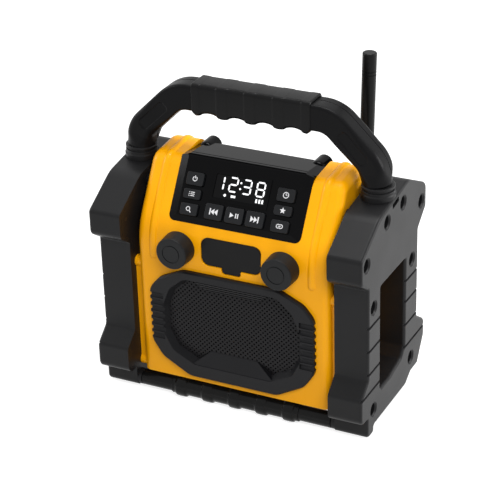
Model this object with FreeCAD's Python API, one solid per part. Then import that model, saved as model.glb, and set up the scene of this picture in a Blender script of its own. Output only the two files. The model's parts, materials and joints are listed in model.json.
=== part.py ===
import FreeCAD, Part
import math
import os
from FreeCAD import Vector

# Battery jobsite speaker with a roll cage. Millimetres, +Z up, the front looks along -Y.
# The origin lies on the ground under the middle of the whole object.

# Side frames
overall_width = 214.0
frame_thickness = 26.0
frame_wall = 3.0
frame_edge_round = 2.2
leg_front_y = -48.0
leg_rear_y = 45.5
bulge_front_y = -60.5
bulge_rear_y = 60.5
foot_front_y = -49.0
foot_back_y = -37.0
foot_bottom_z = 2.0
underside_z = 7.5
underside_rear_y = 24.0
heel_z = 13.5
heel_front_y = 34.0
heel_rear_y = 48.0
low_bulge_bottom_z = 18.5
low_bulge_top_z = 39.5
flare_top_z = 50.0
rear_bulge_bottom_z = 33.0
rear_bulge_top_z = 46.0
rear_flare_top_z = 56.0
high_bulge_root_z = 122.5
high_bulge_bottom_z = 131.0
high_bulge_top_z = 149.5
rear_high_root_z = 128.0
rear_high_bottom_z = 140.0
rear_high_top_z = 158.5
brow_y = -28.0
brow_z = 168.0
frame_top_y = 25.0
frame_top_z = 176.0
window_front_y = -25.7
window_rear_y = 20.8
window_top_z = 114.7
window_bottom_z = 31.6
window_heel_y = 14.0
window_heel_z = 35.5
window_step_y = -7.0
groove_width = 2.3
groove_floor_width = 0.9
groove_depth = 1.7
front_groove_z = (91.6, 72.9, 54.2, 39.2)
rear_groove_z = (96.1, 79.0, 59.7, 41.2)
cover_thickness = 2.5
slot_middle = (0.4, 168.3)
slot_length = 11.5
slot_height = 3.8
slot_depth = 2.0
seat_gap = 0.15

# Screws that hold the frames
high_screw_places = ((-14.7, 159.8), (15.0, 162.0))
outer_screw_places = ((50.1, 147.9), (-51.0, 143.0))
rail_front_y = -38.3
rail_rear_y = 33.3
rail_front_z = (21.5, 104.3)
rail_rear_z = (26.6, 108.7)
recess_radius = 4.7
recess_mouth_radius = 6.0
recess_mouth_depth = 1.2
screw_bore_radius = 3.6
screw_head_radius = 3.2
screw_head_height = 2.6
screw_head_depth = 12.0
screw_radius = 1.5
screw_grip_length = 9.0
screw_boss_wall = 2.0

# Housing
side_gap = 4.5
housing_front_y = -46.0
housing_rear_y = 44.0
housing_bottom_z = 17.0
housing_wall = 3.0
front_bend_z = 135.7
front_brow = (-16.3, 183.0)
rear_brow = (17.0, 186.0)
rear_bend_z = 143.0
bend_radius = 45.0
brow_radius = 13.0
side_round = 6.0
seam_y = 26.0
strip_inset = 13.5
strip_width = 6.0
strip_height = 1.3
strip_root = 0.6
strip_low_z = 112.4
rail_width = 5.0
rail_boss_radius = 4.4
boss_depth = 10.0
post_radius = 4.0
post_inset = 12.5
post_z = (32.0, 140.0)
post_screw_depth = 5.0
post_screw_length = 26.0

# Control panel, on the plane of the housing's front slope; distances run up from its foot
panel_start = 9.9
bezel_half_width = 52.0
bezel_rise = 2.2
bezel_seat_depth = 1.0
bezel_corner = 5.0
side_bevel_width = 6.5
foot_bevel_width = 4.5
flat_length = 49.1
visor_radius = 3.5
cover_back = (14.0, 184.0)
cover_rear = (20.5, 176.5)
cover_thickness_z = 2.4
cover_back_radius = 4.0
visor_groove_y = -12.6
visor_groove_width = 1.0
visor_groove_depth = 0.8
ear_x = 44.5
ear_radius = 6.4
ear_top_z = 186.2
ear_front_y = 9.0
bezel_ledge = 3.5
display_half_width = 20.2
display_low = 21.3
display_high = 38.2
display_corner = 0.8
display_frame = 2.6
display_frame_height = 0.5
lens_thickness = 1.6
board_thickness = 1.6

# Buttons on the panel
button_gap = 0.3
button_rise = 2.0
button_corner = 1.6
button_flange = 0.8
button_flange_thickness = 0.8
button_travel = 0.8
column_x = 35.8
column_button_width = 13.6
column_rows = ((31.7, 9.6), (20.6, 7.2), (9.4, 8.6))
middle_pitch = 16.2
middle_button_width = 14.0
middle_row = (10.8, 11.3)
switch_size = 5.0
switch_height = 1.6

# Knobs
knob_x = 41.3
knob_z = 126.0
knob_base_radius = 12.7
knob_face_radius = 12.0
knob_length = 12.5
knob_gap = 0.3
knob_edge = 1.0
knob_ring_radius = 6.6
knob_ring_width = 0.7
knob_ring_depth = 0.5
shaft_radius = 3.0
shaft_running_gap = 0.05
shaft_engagement = 8.0
bush_radius = 4.5
encoder_size = 12.5
encoder_depth = 6.5
encoder_pad_radius = 9.0
encoder_pad_depth = 4.6
shaft_tail = 5.0

# Port bay and its flap
port_half_width = 22.0
port_low_z = 119.0
port_high_z = 136.2
port_corner = 3.0
port_depth = 8.0
port_wall = 1.4
flap_half_width = 23.6
flap_low_z = 115.6
flap_high_z = 137.3
flap_corner = 6.0
flap_thickness = 1.2
flap_inset = 0.5
flap_gap = 0.3
flap_swing_gap = 0.8
flap_lip_depth = 1.5
tab_half_width = 7.5
tab_low_z = 111.2
socket_depth = 12.0
usb_x = -12.0
usb_width = 13.1
usb_height = 5.7
usb_shell = 0.5
card_x = 3.0
card_width = 11.6
card_height = 1.8
charge_x = 3.0
charge_width = 9.0
charge_height = 3.3
jack_x = 15.5
jack_radius = 1.8
jack_body = 7.0
jack_mouth_gap = 0.9
port_middle_z = 127.6
card_z = 131.2
charge_z = 124.2

# Speaker
speaker_half_width = 66.0
speaker_top_z = 108.6
speaker_bottom_z = 21.8
speaker_top_half = 38.5
speaker_bottom_half = 35.5
speaker_shoulder = (57.5, 99.8)
speaker_hip = (57.5, 34.0)
speaker_side_high_z = 89.6
speaker_side_low_z = 47.0
speaker_corner = 14.0
speaker_rise = 4.0
speaker_edge = 1.2
spigot_inset = 6.0
spigot_depth = 3.5
mesh_half_width = 52.5
mesh_top_half = 36.0
mesh_top_z = 99.5
mesh_shoulder = (46.6, 90.5)
mesh_hip = (46.0, 43.5)
mesh_side_high_z = 76.0
mesh_side_low_z = 56.0
mesh_bottom_half = 30.0
mesh_bottom_z = 35.5
mesh_corner = 6.0
mesh_flare = 3.0
mesh_depth = 5.5
grille_thickness = 1.2
grille_overlap = 2.0
scallop_count = 7
scallop_pitch = 5.6
scallop_radius = 2.2
scallop_depth = 1.7
scallop_edge_depth = 1.1
scallop_middle_z = 68.0
scoop_top_half = 18.5
scoop_top_z = 44.5
scoop_low_half = 33.0
scoop_low_z = 32.5
scoop_front = 0.5
louvre_count = 4
louvre_pitch = 2.1
louvre_top_half = 30.0
louvre_low_half = 21.0
louvre_front = 1.0
louvre_groove_width = 0.8
louvre_groove_depth = 1.3
driver_z = 67.0
driver_radius = 43.0
driver_flange = 2.5
cone_radius = 34.0
cone_depth = 14.0
cone_skin = 0.8
surround_radius = 3.2
cap_radius = 12.0
cap_rise = 4.0
basket_depth = 20.0
basket_back_radius = 24.0
basket_skin = 1.5
magnet_radius = 26.0
magnet_depth = 13.0

# Handle
handle_size = 18.0
handle_corner = 6.0
handle_top_z = 235.0
handle_knee_inset = 34.5
handle_elbow_z = 194.5
handle_knee_radius = 26.0
handle_elbow_radius = 14.0
handle_seam_y = 2.5
leg_radius = 10.8
leg_bottom_z = 181.0
leg_round_z = 182.5
plug_radius = 8.0
plug_bottom_z = 158.0
collar_radius = 12.0
collar_groove_radius = 10.9
collar_ring_height = 2.0
collar_groove_height = 1.4
collar_foot_z = 168.0
socket_wall = 2.5
side_panel_width = 11.5
side_panel_depth = 0.6
side_panel_knee_inset = 9.0
side_panel_elbow_inset = 5.5
grip_half_length = 48.5
grip_half_depth = 10.2
grip_top_z = 237.5
grip_bottom_z = 214.2
grip_corner = 3.2
grip_bevel = 2.0
lobe_pitch = 22.0
lobe_count = 5
lobe_width = 8.6
lobe_round = 1.2
lobe_bottom_z = 213.1
lobe_top_z = 234.5
lobe_swell = 0.6
finger_rise = 1.5

# Foot bar
bar_y = -43.0
bar_z = 8.0
bar_radius = 6.0
bar_toe_gap = 0.7
bar_pin_radius = 4.0
bar_pin_length = 12.0
toe_reach = 3.0
toe_end_inset = 2.5
bar_lobe_radius = 8.3
bar_waist_radius = 6.9
bar_sleeve_half = 52.0
bar_lobe_round = 1.3

# Rear pads under the frames
pad_half_width = 7.0
pad_front_y = 3.0
pad_rear_y = 21.0
pad_corner = 3.0

# Antenna on the back, upright with a slight lean
antenna_inset = 16.0
antenna_y = 46.5
antenna_z = 166.0
antenna_lean = 1.8
antenna_radius = 5.2
antenna_length = 92.0
antenna_root = 9.0
antenna_cap_length = 13.0
antenna_ring_depth = 0.5
antenna_ring_width = 1.0
antenna_ring_pitch = 2.4
tongue_half = 3.0
tongue_radius = 5.0
pivot_radius = 2.0
pivot_running_gap = 0.05
ear_gap = 0.3
ear_thickness = 3.5
base_half_width = 7.5
base_low_z = 150.0
base_floor_z = 159.0

# Battery bay in the rear
bay_half_width = 43.0
bay_low_z = 28.0
bay_high_z = 70.0
bay_front_y = 18.0
bay_wall = 2.0
door_thickness = 2.5
door_lap = 3.0
door_gap = 0.2
door_corner = 4.0
door_rib_count = 6
door_rib_pitch = 4.5
door_screw_x = 40.0
cell_radius = 9.2
cell_length = 65.0
cell_gap = 0.4

# Main board inside the rear housing
main_board_half_width = 46.0
main_board_low_z = 84.0
main_board_high_z = 140.0
main_board_y = 30.0
main_board_post_inset = 5.0
chip_size = 14.0
chip_height = 2.0

frame_outer_x = overall_width / 2
frame_inner_x = frame_outer_x - frame_thickness
housing_half_width = frame_inner_x - side_gap
handle_x = frame_outer_x - frame_thickness / 2
handle_knee_x = handle_x - handle_knee_inset
strip_middle_x = housing_half_width - strip_inset
post_x = housing_half_width - post_inset
antenna_x = frame_inner_x - antenna_inset
toe_half_start = frame_inner_x - toe_reach
toe_half_end = frame_outer_x - toe_end_inset
bar_half_length = toe_half_start - bar_toe_gap
slope_foot = Vector(0, housing_front_y, front_bend_z)
panel_up = (Vector(0, front_brow[0], front_brow[1]) - slope_foot).normalize()
panel_out = Vector(1, 0, 0).cross(panel_up)
panel_origin = slope_foot + panel_up * panel_start
board_drop = 0.1 + button_flange_thickness + button_travel + switch_height
far = 400.0
all_sides = (-1, 1)
flap_depth = flap_inset + flap_thickness + flap_gap


# Drawing helpers
def side_plane(x):
    return lambda y, z: Vector(x, y, z)


def front_plane(y):
    return lambda x, z: Vector(x, y, z)


def level_plane(z):
    return lambda x, y: Vector(x, y, z)


def panel_plane(height):
    return lambda x, v: panel_origin + Vector(x, 0, 0) + panel_up * v + panel_out * height


def rounded_corner(before, at, after, radius):
    """Start, middle and end of the arc that rounds one corner of a flat outline."""
    here = Vector(at[0], at[1], 0)
    back = (Vector(before[0], before[1], 0) - here).normalize()
    ahead = (Vector(after[0], after[1], 0) - here).normalize()
    half = back.getAngle(ahead) / 2
    reach = radius / math.tan(half)
    middle = (back + ahead).normalize() * (radius / math.sin(half) - radius)
    return here + back * reach, here + middle, here + ahead * reach


def outline(corners, place):
    """Closed wire through corners (u, v) or (u, v, radius), set in space by place."""
    edges = []
    stops = []
    for index, corner in enumerate(corners):
        radius = corner[2] if len(corner) > 2 else 0.0
        if radius > 0:
            after = corners[(index + 1) % len(corners)]
            stops.append(rounded_corner(corners[index - 1], corner, after, radius))
        else:
            here = Vector(corner[0], corner[1], 0)
            stops.append((here, None, here))
    for index, (start, middle, end) in enumerate(stops):
        last = stops[index - 1][2]
        if last.distanceToPoint(start) > 1e-4:
            edges.append(Part.LineSegment(place(last.x, last.y), place(start.x, start.y)).toShape())
        if middle is not None:
            arc = Part.Arc(place(start.x, start.y), place(middle.x, middle.y), place(end.x, end.y))
            edges.append(arc.toShape())
    return Part.Wire(edges)


def slab(corners, place, depth):
    """Prism: an outline set in a plane and pulled along the depth vector."""
    return Part.Face(outline(corners, place)).extrude(depth)


def rectangle(low_u, low_v, high_u, high_v, radius=0.0):
    low = [(low_u, low_v, radius), (high_u, low_v, radius)]
    return low + [(high_u, high_v, radius), (low_u, high_v, radius)]


def block(low, high):
    size = Vector(*high) - Vector(*low)
    return Part.makeBox(size.x, size.y, size.z, Vector(*low))


def cylinder(start, end, radius):
    axis = end - start
    return Part.makeCylinder(radius, axis.Length, start, axis)


def cone(start, end, start_radius, end_radius):
    axis = end - start
    return Part.makeCone(start_radius, end_radius, axis.Length, start, axis)


def turned(corners, place, centre, axis):
    """Solid of revolution of an outline drawn in a plane that holds the axis."""
    return Part.Face(outline(corners, place)).revolve(centre, axis, 360)


def fused(shapes):
    first = shapes[0]
    if len(shapes) == 1:
        return first
    return first.multiFuse(shapes[1:]).removeSplitter()


def mirrored(shape):
    return shape.mirror(Vector(0, 0, 0), Vector(1, 0, 0))


def on_side(shape, side):
    """The shape as drawn for the +X side, or its mirror image for the -X side."""
    return shape if side > 0 else mirrored(shape)


# Side frames
def frame_corners():
    """Outline of a side frame seen from the side, from the toe round over the top to the heel."""
    return [
        (foot_back_y, foot_bottom_z, 3.0),
        (foot_front_y, foot_bottom_z, 4.5),
        (foot_front_y, low_bulge_bottom_z, 1.0),
        (bulge_front_y, low_bulge_bottom_z, 6.0),
        (bulge_front_y, low_bulge_top_z, 4.0),
        (leg_front_y, flare_top_z, 3.0),
        (leg_front_y, high_bulge_root_z, 2.0),
        (bulge_front_y, high_bulge_bottom_z, 5.5),
        (bulge_front_y, high_bulge_top_z, 4.0),
        (brow_y, brow_z, 25.0),
        (frame_top_y, frame_top_z, 12.0),
        (bulge_rear_y, rear_high_top_z, 7.0),
        (bulge_rear_y, rear_high_bottom_z, 4.0),
        (leg_rear_y, rear_high_root_z, 3.0),
        (leg_rear_y, rear_flare_top_z, 3.0),
        (bulge_rear_y, rear_bulge_top_z, 5.0),
        (bulge_rear_y, rear_bulge_bottom_z, 8.0),
        (heel_rear_y, heel_z, 4.0),
        (heel_front_y, heel_z, 5.0),
        (underside_rear_y, underside_z, 6.0),
        (foot_back_y, underside_z, 1.5),
    ]


def window_corners():
    return [
        (window_front_y, window_bottom_z, 2.5),
        (window_step_y, window_bottom_z, 3.0),
        (window_heel_y, window_heel_z, 4.0),
        (window_rear_y, window_heel_z + window_rear_y - window_heel_y, 3.0),
        (window_rear_y, window_top_z, 1.5),
        (window_front_y, window_top_z, 1.5),
    ]


def ring_face(inset, x):
    """Face of the frame's ring at x, its outline and window both drawn in by inset."""
    outer = Part.Face(outline(frame_corners(), side_plane(x)))
    hole = Part.Face(outline(window_corners(), side_plane(x)))
    if inset > 0:
        outer = outer.makeOffset2D(-inset, 2)
        hole = hole.makeOffset2D(inset, 2)
    return outer.cut(hole)


def all_screw_places():
    places = list(high_screw_places) + list(outer_screw_places)
    places += [(rail_front_y, z) for z in rail_front_z]
    places += [(rail_rear_y, z) for z in rail_rear_z]
    return places


def body_screw_places():
    return [place for place in all_screw_places() if place not in outer_screw_places]


def frame_blank():
    """The frame before its grooves and holes: a ring in the shape of the outline and window."""
    blank = ring_face(0, frame_inner_x).extrude(Vector(frame_thickness, 0, 0))
    rim = [edge for edge in blank.Edges if edge.BoundBox.XMin > frame_outer_x - 0.01]
    return blank.makeFillet(frame_edge_round, rim)


def frame_slot():
    """Short slot in the outer face, along the sloping top beside the collar."""
    along = Vector(0, frame_top_y - brow_y, frame_top_z - brow_z).normalize()
    across = Vector(1, 0, 0).cross(along)
    middle = Vector(frame_outer_x - slot_depth, *slot_middle)
    place = lambda u, v: middle + along * u + across * v
    return slab(centred(0, 0, slot_length, slot_height, 0.6), place, Vector(far, 0, 0))


def frame_grooves():
    """Straight grooves across the outer face of each leg, narrower at their floor."""
    grooves = [frame_groove(bulge_front_y - 1, window_front_y + 1, z) for z in front_groove_z]
    grooves += [frame_groove(window_rear_y - 1, bulge_rear_y + 1, z) for z in rear_groove_z]
    return grooves


def frame_groove(low_y, high_y, z):
    floor_x = frame_outer_x - groove_depth
    half_floor = groove_floor_width / 2
    half_mouth = groove_width / 2
    section = [(floor_x, z - half_floor), (frame_outer_x, z - half_mouth), (far, z - half_mouth),
               (far, z + half_mouth), (frame_outer_x, z + half_mouth), (floor_x, z + half_floor)]
    return slab(section, front_plane(low_y), Vector(0, high_y - low_y, 0))


def frame_cavity():
    """Hollow inside the frame, less the tubes that carry the screws and the handle's plug."""
    cavity = ring_face(frame_wall, frame_inner_x).extrude(Vector(frame_thickness - frame_wall, 0, 0))
    cover_x = frame_inner_x + cover_thickness
    tubes = []
    for y, z in all_screw_places():
        tube_radius = recess_radius + screw_boss_wall
        tubes.append(cylinder(Vector(cover_x, y, z), Vector(frame_outer_x, y, z), tube_radius))
    socket_foot = Vector(handle_x, 0, plug_bottom_z - socket_wall)
    socket = cylinder(socket_foot, Vector(handle_x, 0, frame_top_z), plug_radius + socket_wall)
    keep_clear = block((cover_x, -far, 0), (far, far, far))
    return cavity.cut(fused(tubes)).cut(socket.common(keep_clear))


def toe():
    """Round toe of the frame in line with the foot bar."""
    start = Vector(toe_half_start, bar_y, bar_z)
    end = Vector(toe_half_end, bar_y, bar_z)
    return cylinder(start, end, bar_radius)


def side_frame():
    frame = frame_blank().cut(fused(frame_grooves())).cut(frame_cavity())
    frame = frame.fuse(toe()).removeSplitter()
    cuts = [frame_slot()]
    for y, z in all_screw_places():
        mouth = Vector(frame_outer_x - recess_mouth_depth, y, z)
        face = Vector(frame_outer_x, y, z)
        seat = Vector(frame_outer_x - screw_head_depth - screw_head_height, y, z)
        cuts.append(cone(mouth, face, recess_radius, recess_mouth_radius))
        cuts.append(cylinder(seat, face, recess_radius))
        cuts.append(cylinder(Vector(frame_inner_x, y, z), face, screw_radius))
    cuts.append(cylinder(Vector(handle_x, 0, plug_bottom_z), Vector(handle_x, 0, far), plug_radius))
    pin_end = Vector(toe_half_start + bar_pin_length, bar_y, bar_z)
    cuts.append(cylinder(Vector(0, bar_y, bar_z), pin_end, bar_pin_radius))
    return frame.cut(fused(cuts))


def frame_cover():
    """Plate that closes the frame's hollow on the side of the housing."""
    cover = ring_face(frame_wall + seat_gap, frame_inner_x).extrude(Vector(cover_thickness, 0, 0))
    holes = []
    for y, z in all_screw_places():
        holes.append(cylinder(Vector(frame_inner_x, y, z), Vector(frame_outer_x, y, z), screw_radius))
    toe_start = Vector(toe_half_start, bar_y, bar_z)
    holes.append(cylinder(toe_start, Vector(toe_half_end, bar_y, bar_z), bar_radius + seat_gap))
    return cover.cut(fused(holes))


def frame_screws():
    """Eight screws of one frame: six reach the housing's bosses, two hold the cover."""
    screws = []
    for y, z in all_screw_places():
        under_head = Vector(frame_outer_x - screw_head_depth - screw_head_height, y, z)
        over_head = Vector(frame_outer_x - screw_head_depth, y, z)
        tip_x = housing_half_width - screw_grip_length
        if (y, z) in outer_screw_places:
            tip_x = frame_inner_x
        head = cylinder(under_head, over_head, screw_head_radius)
        shank = cylinder(Vector(tip_x, y, z), under_head, screw_radius)
        screws.append(head.fuse(shank).removeSplitter())
    return Part.makeCompound(screws)


def rear_pad():
    low_x = handle_x - pad_half_width
    high_x = handle_x + pad_half_width
    corners = rectangle(low_x, pad_front_y, high_x, pad_rear_y, pad_corner)
    return slab(corners, level_plane(0), Vector(0, 0, underside_z))


# Housing
def housing_corners():
    return [
        (housing_rear_y, housing_bottom_z),
        (housing_front_y, housing_bottom_z),
        (housing_front_y, front_bend_z, bend_radius),
        (front_brow[0], front_brow[1], brow_radius),
        (rear_brow[0], rear_brow[1], brow_radius),
        (housing_rear_y, rear_bend_z, bend_radius),
    ]


def housing_block(inset):
    """Closed block of the housing's outer shape, drawn in by inset all round."""
    half = housing_half_width - inset
    face = Part.Face(outline(housing_corners(), side_plane(-half)))
    if inset > 0:
        face = face.makeOffset2D(-inset, 2)
    solid = face.extrude(Vector(2 * half, 0, 0))
    low_z = housing_bottom_z + inset
    ends = [edge for edge in solid.Edges if edge.BoundBox.XLength < 0.01]
    ends = [edge for edge in ends if edge.BoundBox.ZMax > low_z + 0.1]
    return solid.makeFillet(side_round - inset, ends)


def bezel_pocket():
    """Space that the bezel takes in the housing: its seat and the opening behind it."""
    half = bezel_half_width + seat_gap
    seat_corners = rectangle(-half, -seat_gap, half, 2 * flat_length, bezel_corner)
    seat = slab(seat_corners, panel_plane(-bezel_seat_depth), panel_out * far)
    inner = half - bezel_ledge
    open_corners = rectangle(-inner, bezel_ledge, inner, flat_length, 2.0)
    opening = slab(open_corners, panel_plane(-20.0), panel_out * 20.0)
    seat_low = panel_plane(-bezel_seat_depth)(0, flat_length / 2)
    top_low_z = cover_rear[1] - 0.5
    top = block((-half, seat_low.y, top_low_z), (half, cover_rear[0] + seat_gap, far))
    in_front = slab(rectangle(-far, 0, far, far), panel_plane(-bezel_seat_depth), panel_out * far)
    return fused([seat, opening, top.cut(in_front)])


def side_strips():
    """Raised strip on each cheek, from its round foot on the front over the top to the back."""
    half = strip_width / 2
    end_z = strip_low_z + half
    outline_wire = outline(housing_corners(), side_plane(strip_middle_x))
    above = block((0, -far, end_z), (far, far, far))
    path = Part.Wire(Part.__sortEdges__(outline_wire.common(above).Edges))
    rim = front_plane(housing_front_y)(strip_middle_x, end_z)
    low = rim + Vector(-half, 0, 0)
    high = rim + Vector(half, 0, 0)
    root = Vector(0, strip_root, 0)
    crest = Part.Arc(low, rim - Vector(0, strip_height, 0), high).toShape()
    sides = Part.makePolygon([high, high + root, low + root, low]).Edges
    section = Part.Wire([crest] + sides)
    strip = path.makePipeShell([section], True, True)
    dome_radius = (half * half + strip_height * strip_height) / (2 * strip_height)
    domes = []
    for wall_y, way in ((housing_front_y, -1), (housing_rear_y, 1)):
        crest_y = wall_y + way * strip_height
        centre = Vector(strip_middle_x, crest_y - way * dome_radius, end_z)
        beyond = block((0, min(wall_y - way * strip_root, way * far), 0),
                       (far, max(wall_y - way * strip_root, way * far), far))
        domes.append(Part.makeSphere(dome_radius, centre).common(beyond))
    strip = fused([strip] + domes)
    return strip.fuse(mirrored(strip))


def rail(y, low_z, high_z):
    """Spacer rail between housing and frame, with a round boss round the screw at each end."""
    inner_x = housing_half_width - housing_wall
    half = rail_width / 2
    bar = block((inner_x, y - half, low_z), (frame_inner_x, y + half, high_z))
    bosses = [spacer(y, z) for z in (low_z, high_z)]
    return fused([bar] + bosses)


def spacer(y, z):
    start = Vector(housing_half_width - housing_wall, y, z)
    return cylinder(start, Vector(frame_inner_x, y, z), rail_boss_radius)


def seated(shapes):
    """Spacers of both sides, each trimmed to the housing's wall and bored for its screws."""
    body = housing_block(0)
    holes = side_screw_holes()
    solids = []
    for shape in shapes:
        trimmed = shape.cut(body)
        solids += [trimmed.cut(holes), mirrored(trimmed).cut(holes)]
    return Part.makeCompound(solids)


def side_rails():
    return seated([rail(rail_front_y, *rail_front_z), rail(rail_rear_y, *rail_rear_z)])


def high_spacers():
    return seated([spacer(y, z) for y, z in high_screw_places])


def side_boss(y, z):
    """Boss inside the housing's side wall that a frame screw bites into."""
    start = Vector(housing_half_width - housing_wall - boss_depth, y, z)
    end = Vector(housing_half_width - housing_wall / 2, y, z)
    return cylinder(start, end, rail_boss_radius)


def side_screw_holes():
    holes = []
    for y, z in body_screw_places():
        start = Vector(housing_half_width - screw_grip_length, y, z)
        hole = cylinder(start, Vector(frame_inner_x, y, z), screw_radius)
        holes += [hole, mirrored(hole)]
    return fused(holes)


def posts(start_y, end_y, radius):
    found = []
    for side in all_sides:
        for z in post_z:
            x = side * post_x
            found.append(cylinder(Vector(x, start_y, z), Vector(x, end_y, z), radius))
    return found


def front_housing():
    shell = housing_block(0).cut(housing_block(housing_wall))
    half_space = block((-far, -far, 0), (far, seam_y, far))
    parts = [shell.common(half_space), side_strips().common(half_space)]
    inside = housing_block(housing_wall / 2)
    bosses = [side_boss(y, z) for y, z in high_screw_places]
    bosses += [side_boss(rail_front_y, z).common(inside) for z in rail_front_z]
    parts += bosses + [mirrored(boss) for boss in bosses]
    parts += [post.common(inside) for post in posts(housing_front_y, seam_y, post_radius)]
    parts += encoder_pads()
    shell = fused(parts)
    shell = shell.cut(bezel_pocket())
    shell = shell.cut(fused(front_openings())).cut(side_screw_holes())
    return shell.cut(fused(posts(seam_y - post_screw_length, far, screw_radius)))


def encoder_pads():
    """Flat seats behind the front wall, where it starts to curve, for the knobs' encoders."""
    pads = []
    for side in all_sides:
        start = Vector(side * knob_x, housing_front_y + 0.7 * housing_wall, knob_z)
        end = Vector(side * knob_x, housing_front_y + encoder_pad_depth, knob_z)
        pads.append(cylinder(start, end, encoder_pad_radius))
    return pads


def front_openings():
    """Cut-outs in the front wall for the speaker, the port bay and the knobs' bushes."""
    through = Vector(0, 4 * housing_wall, 0)
    start = front_plane(housing_front_y - 1)
    spigot = offset_corners(speaker_corners(), -spigot_inset)
    cuts = [slab(spigot, start, through)]
    ports = rectangle(-port_half_width, port_low_z, port_half_width, port_high_z, port_corner)
    cuts.append(slab(ports, start, Vector(0, port_depth + port_wall + 1, 0)))
    cuts.append(flap_shape(flap_gap, housing_front_y - 1, flap_depth + 1))
    for side in all_sides:
        centre = Vector(side * knob_x, housing_front_y - 1, knob_z)
        cuts.append(cylinder(centre, centre + through, bush_radius))
    return cuts


def rear_housing():
    shell = housing_block(0).cut(housing_block(housing_wall))
    half_space = block((-far, seam_y, 0), (far, far, far))
    parts = [shell.common(half_space), side_strips().common(half_space)]
    inside = housing_block(housing_wall / 2)
    bosses = [side_boss(rail_rear_y, z).common(inside) for z in rail_rear_z]
    parts += bosses + [mirrored(boss) for boss in bosses]
    parts += [post.common(inside) for post in posts(seam_y, housing_rear_y, post_radius)]
    parts += main_board_posts()
    bay_low = bay_low_z - bay_wall
    bay_high = bay_high_z + bay_wall
    bay_half = bay_half_width + bay_wall
    bay_front = bay_front_y - bay_wall
    parts.append(block((-bay_half, bay_front, bay_low), (bay_half, housing_rear_y - 1, bay_high)))
    door_seat = housing_rear_y - door_thickness
    lap = door_lap + bay_wall
    door_ring = block((-bay_half_width - lap, door_seat - bay_wall, bay_low_z - lap),
                      (bay_half_width + lap, housing_rear_y - 1, bay_high_z + lap))
    parts.append(door_ring)
    shell = fused(parts).cut(fused(rear_openings())).cut(side_screw_holes())
    head_y = housing_rear_y - post_screw_depth
    shell = shell.cut(fused(posts(head_y, far, screw_bore_radius)))
    return shell.cut(fused(posts(seam_y - 1, far, screw_radius)))


def rear_openings():
    """Battery bay and the rebate of its door."""
    bay = block((-bay_half_width, bay_front_y, bay_low_z), (bay_half_width, far, bay_high_z))
    corners = door_corners(door_gap)
    rebate = slab(corners, front_plane(housing_rear_y - door_thickness), Vector(0, far, 0))
    cuts = [bay, rebate]
    for centre in door_screw_centres():
        cuts.append(cylinder(centre, Vector(centre.x, far, centre.z), screw_radius))
    return cuts


def door_corners(grow):
    half = bay_half_width + door_lap + grow
    low_z = bay_low_z - door_lap - grow
    high_z = bay_high_z + door_lap + grow
    return rectangle(-half, low_z, half, high_z, door_corner)


def door_screw_centres():
    z = bay_high_z + bay_wall / 2
    return [Vector(side * door_screw_x, housing_rear_y - 8.0, z) for side in all_sides]


def battery_door():
    door = slab(door_corners(0), front_plane(housing_rear_y - door_thickness), Vector(0, door_thickness, 0))
    ribs = []
    middle_z = (bay_low_z + bay_high_z) / 2
    for index in range(door_rib_count):
        z = middle_z + (index - (door_rib_count - 1) / 2) * door_rib_pitch
        start = Vector(-14.0, housing_rear_y, z)
        ribs.append(cylinder(start, start + Vector(28.0, 0, 0), 0.8))
    for centre in door_screw_centres():
        ribs.append(cylinder(centre, Vector(centre.x, far, centre.z), screw_radius))
    return door.cut(fused(ribs))


def door_screws():
    screws = []
    for centre in door_screw_centres():
        face = Vector(centre.x, housing_rear_y, centre.z)
        head = cylinder(face, face + Vector(0, 1.6, 0), 2.8)
        screws.append(head.fuse(cylinder(centre, face, screw_radius)).removeSplitter())
    return Part.makeCompound(screws)


def housing_screws():
    screws = []
    head_y = housing_rear_y - post_screw_depth
    heads = posts(head_y, head_y + screw_head_height, screw_head_radius)
    shanks = posts(seam_y - post_screw_length + 6.0, head_y, screw_radius)
    for head, shank in zip(heads, shanks):
        screws.append(head.fuse(shank).removeSplitter())
    return Part.makeCompound(screws)


def battery_cells():
    """Two round cells lying side by side in the bay."""
    middle_z = (bay_low_z + bay_high_z) / 2
    y = bay_front_y + cell_radius + cell_gap
    cells = []
    for side in all_sides:
        z = middle_z + side * (cell_radius + cell_gap)
        start = Vector(-cell_length / 2, y, z)
        cells.append(cylinder(start, start + Vector(cell_length, 0, 0), cell_radius))
    return Part.makeCompound(cells)


def cell_contacts():
    """Sprung end plates that hold the cells from both ends of the bay."""
    middle_z = (bay_low_z + bay_high_z) / 2
    y = bay_front_y + cell_radius + cell_gap
    plates = []
    for side in all_sides:
        low_x = cell_length / 2
        plate = block((low_x, y - 6.0, middle_z - 16.0), (bay_half_width, y + 6.0, middle_z + 16.0))
        plates.append(on_side(plate, side))
    return Part.makeCompound(plates)


def main_board_posts():
    found = []
    inset = main_board_post_inset
    for side in all_sides:
        for z in (main_board_low_z + inset, main_board_high_z - inset):
            x = side * (main_board_half_width - inset)
            start = Vector(x, main_board_y + board_thickness, z)
            found.append(cylinder(start, Vector(x, housing_rear_y - housing_wall / 2, z), 3.0))
    return found


def main_board():
    half = main_board_half_width
    back_y = main_board_y + board_thickness
    parts = [block((-half, main_board_y, main_board_low_z), (half, back_y, main_board_high_z))]
    middle_z = (main_board_low_z + main_board_high_z) / 2
    for x in (-24.0, 0.0, 24.0):
        low = (x - chip_size / 2, main_board_y - chip_height, middle_z - chip_size / 2)
        parts.append(block(low, (x + chip_size / 2, main_board_y, middle_z + chip_size / 2)))
    return fused(parts)


# Control panel
def panel_point(v, height):
    """The y and z of a point on the panel's middle line."""
    spot = panel_plane(height)(0, v)
    return spot.y, spot.z


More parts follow.
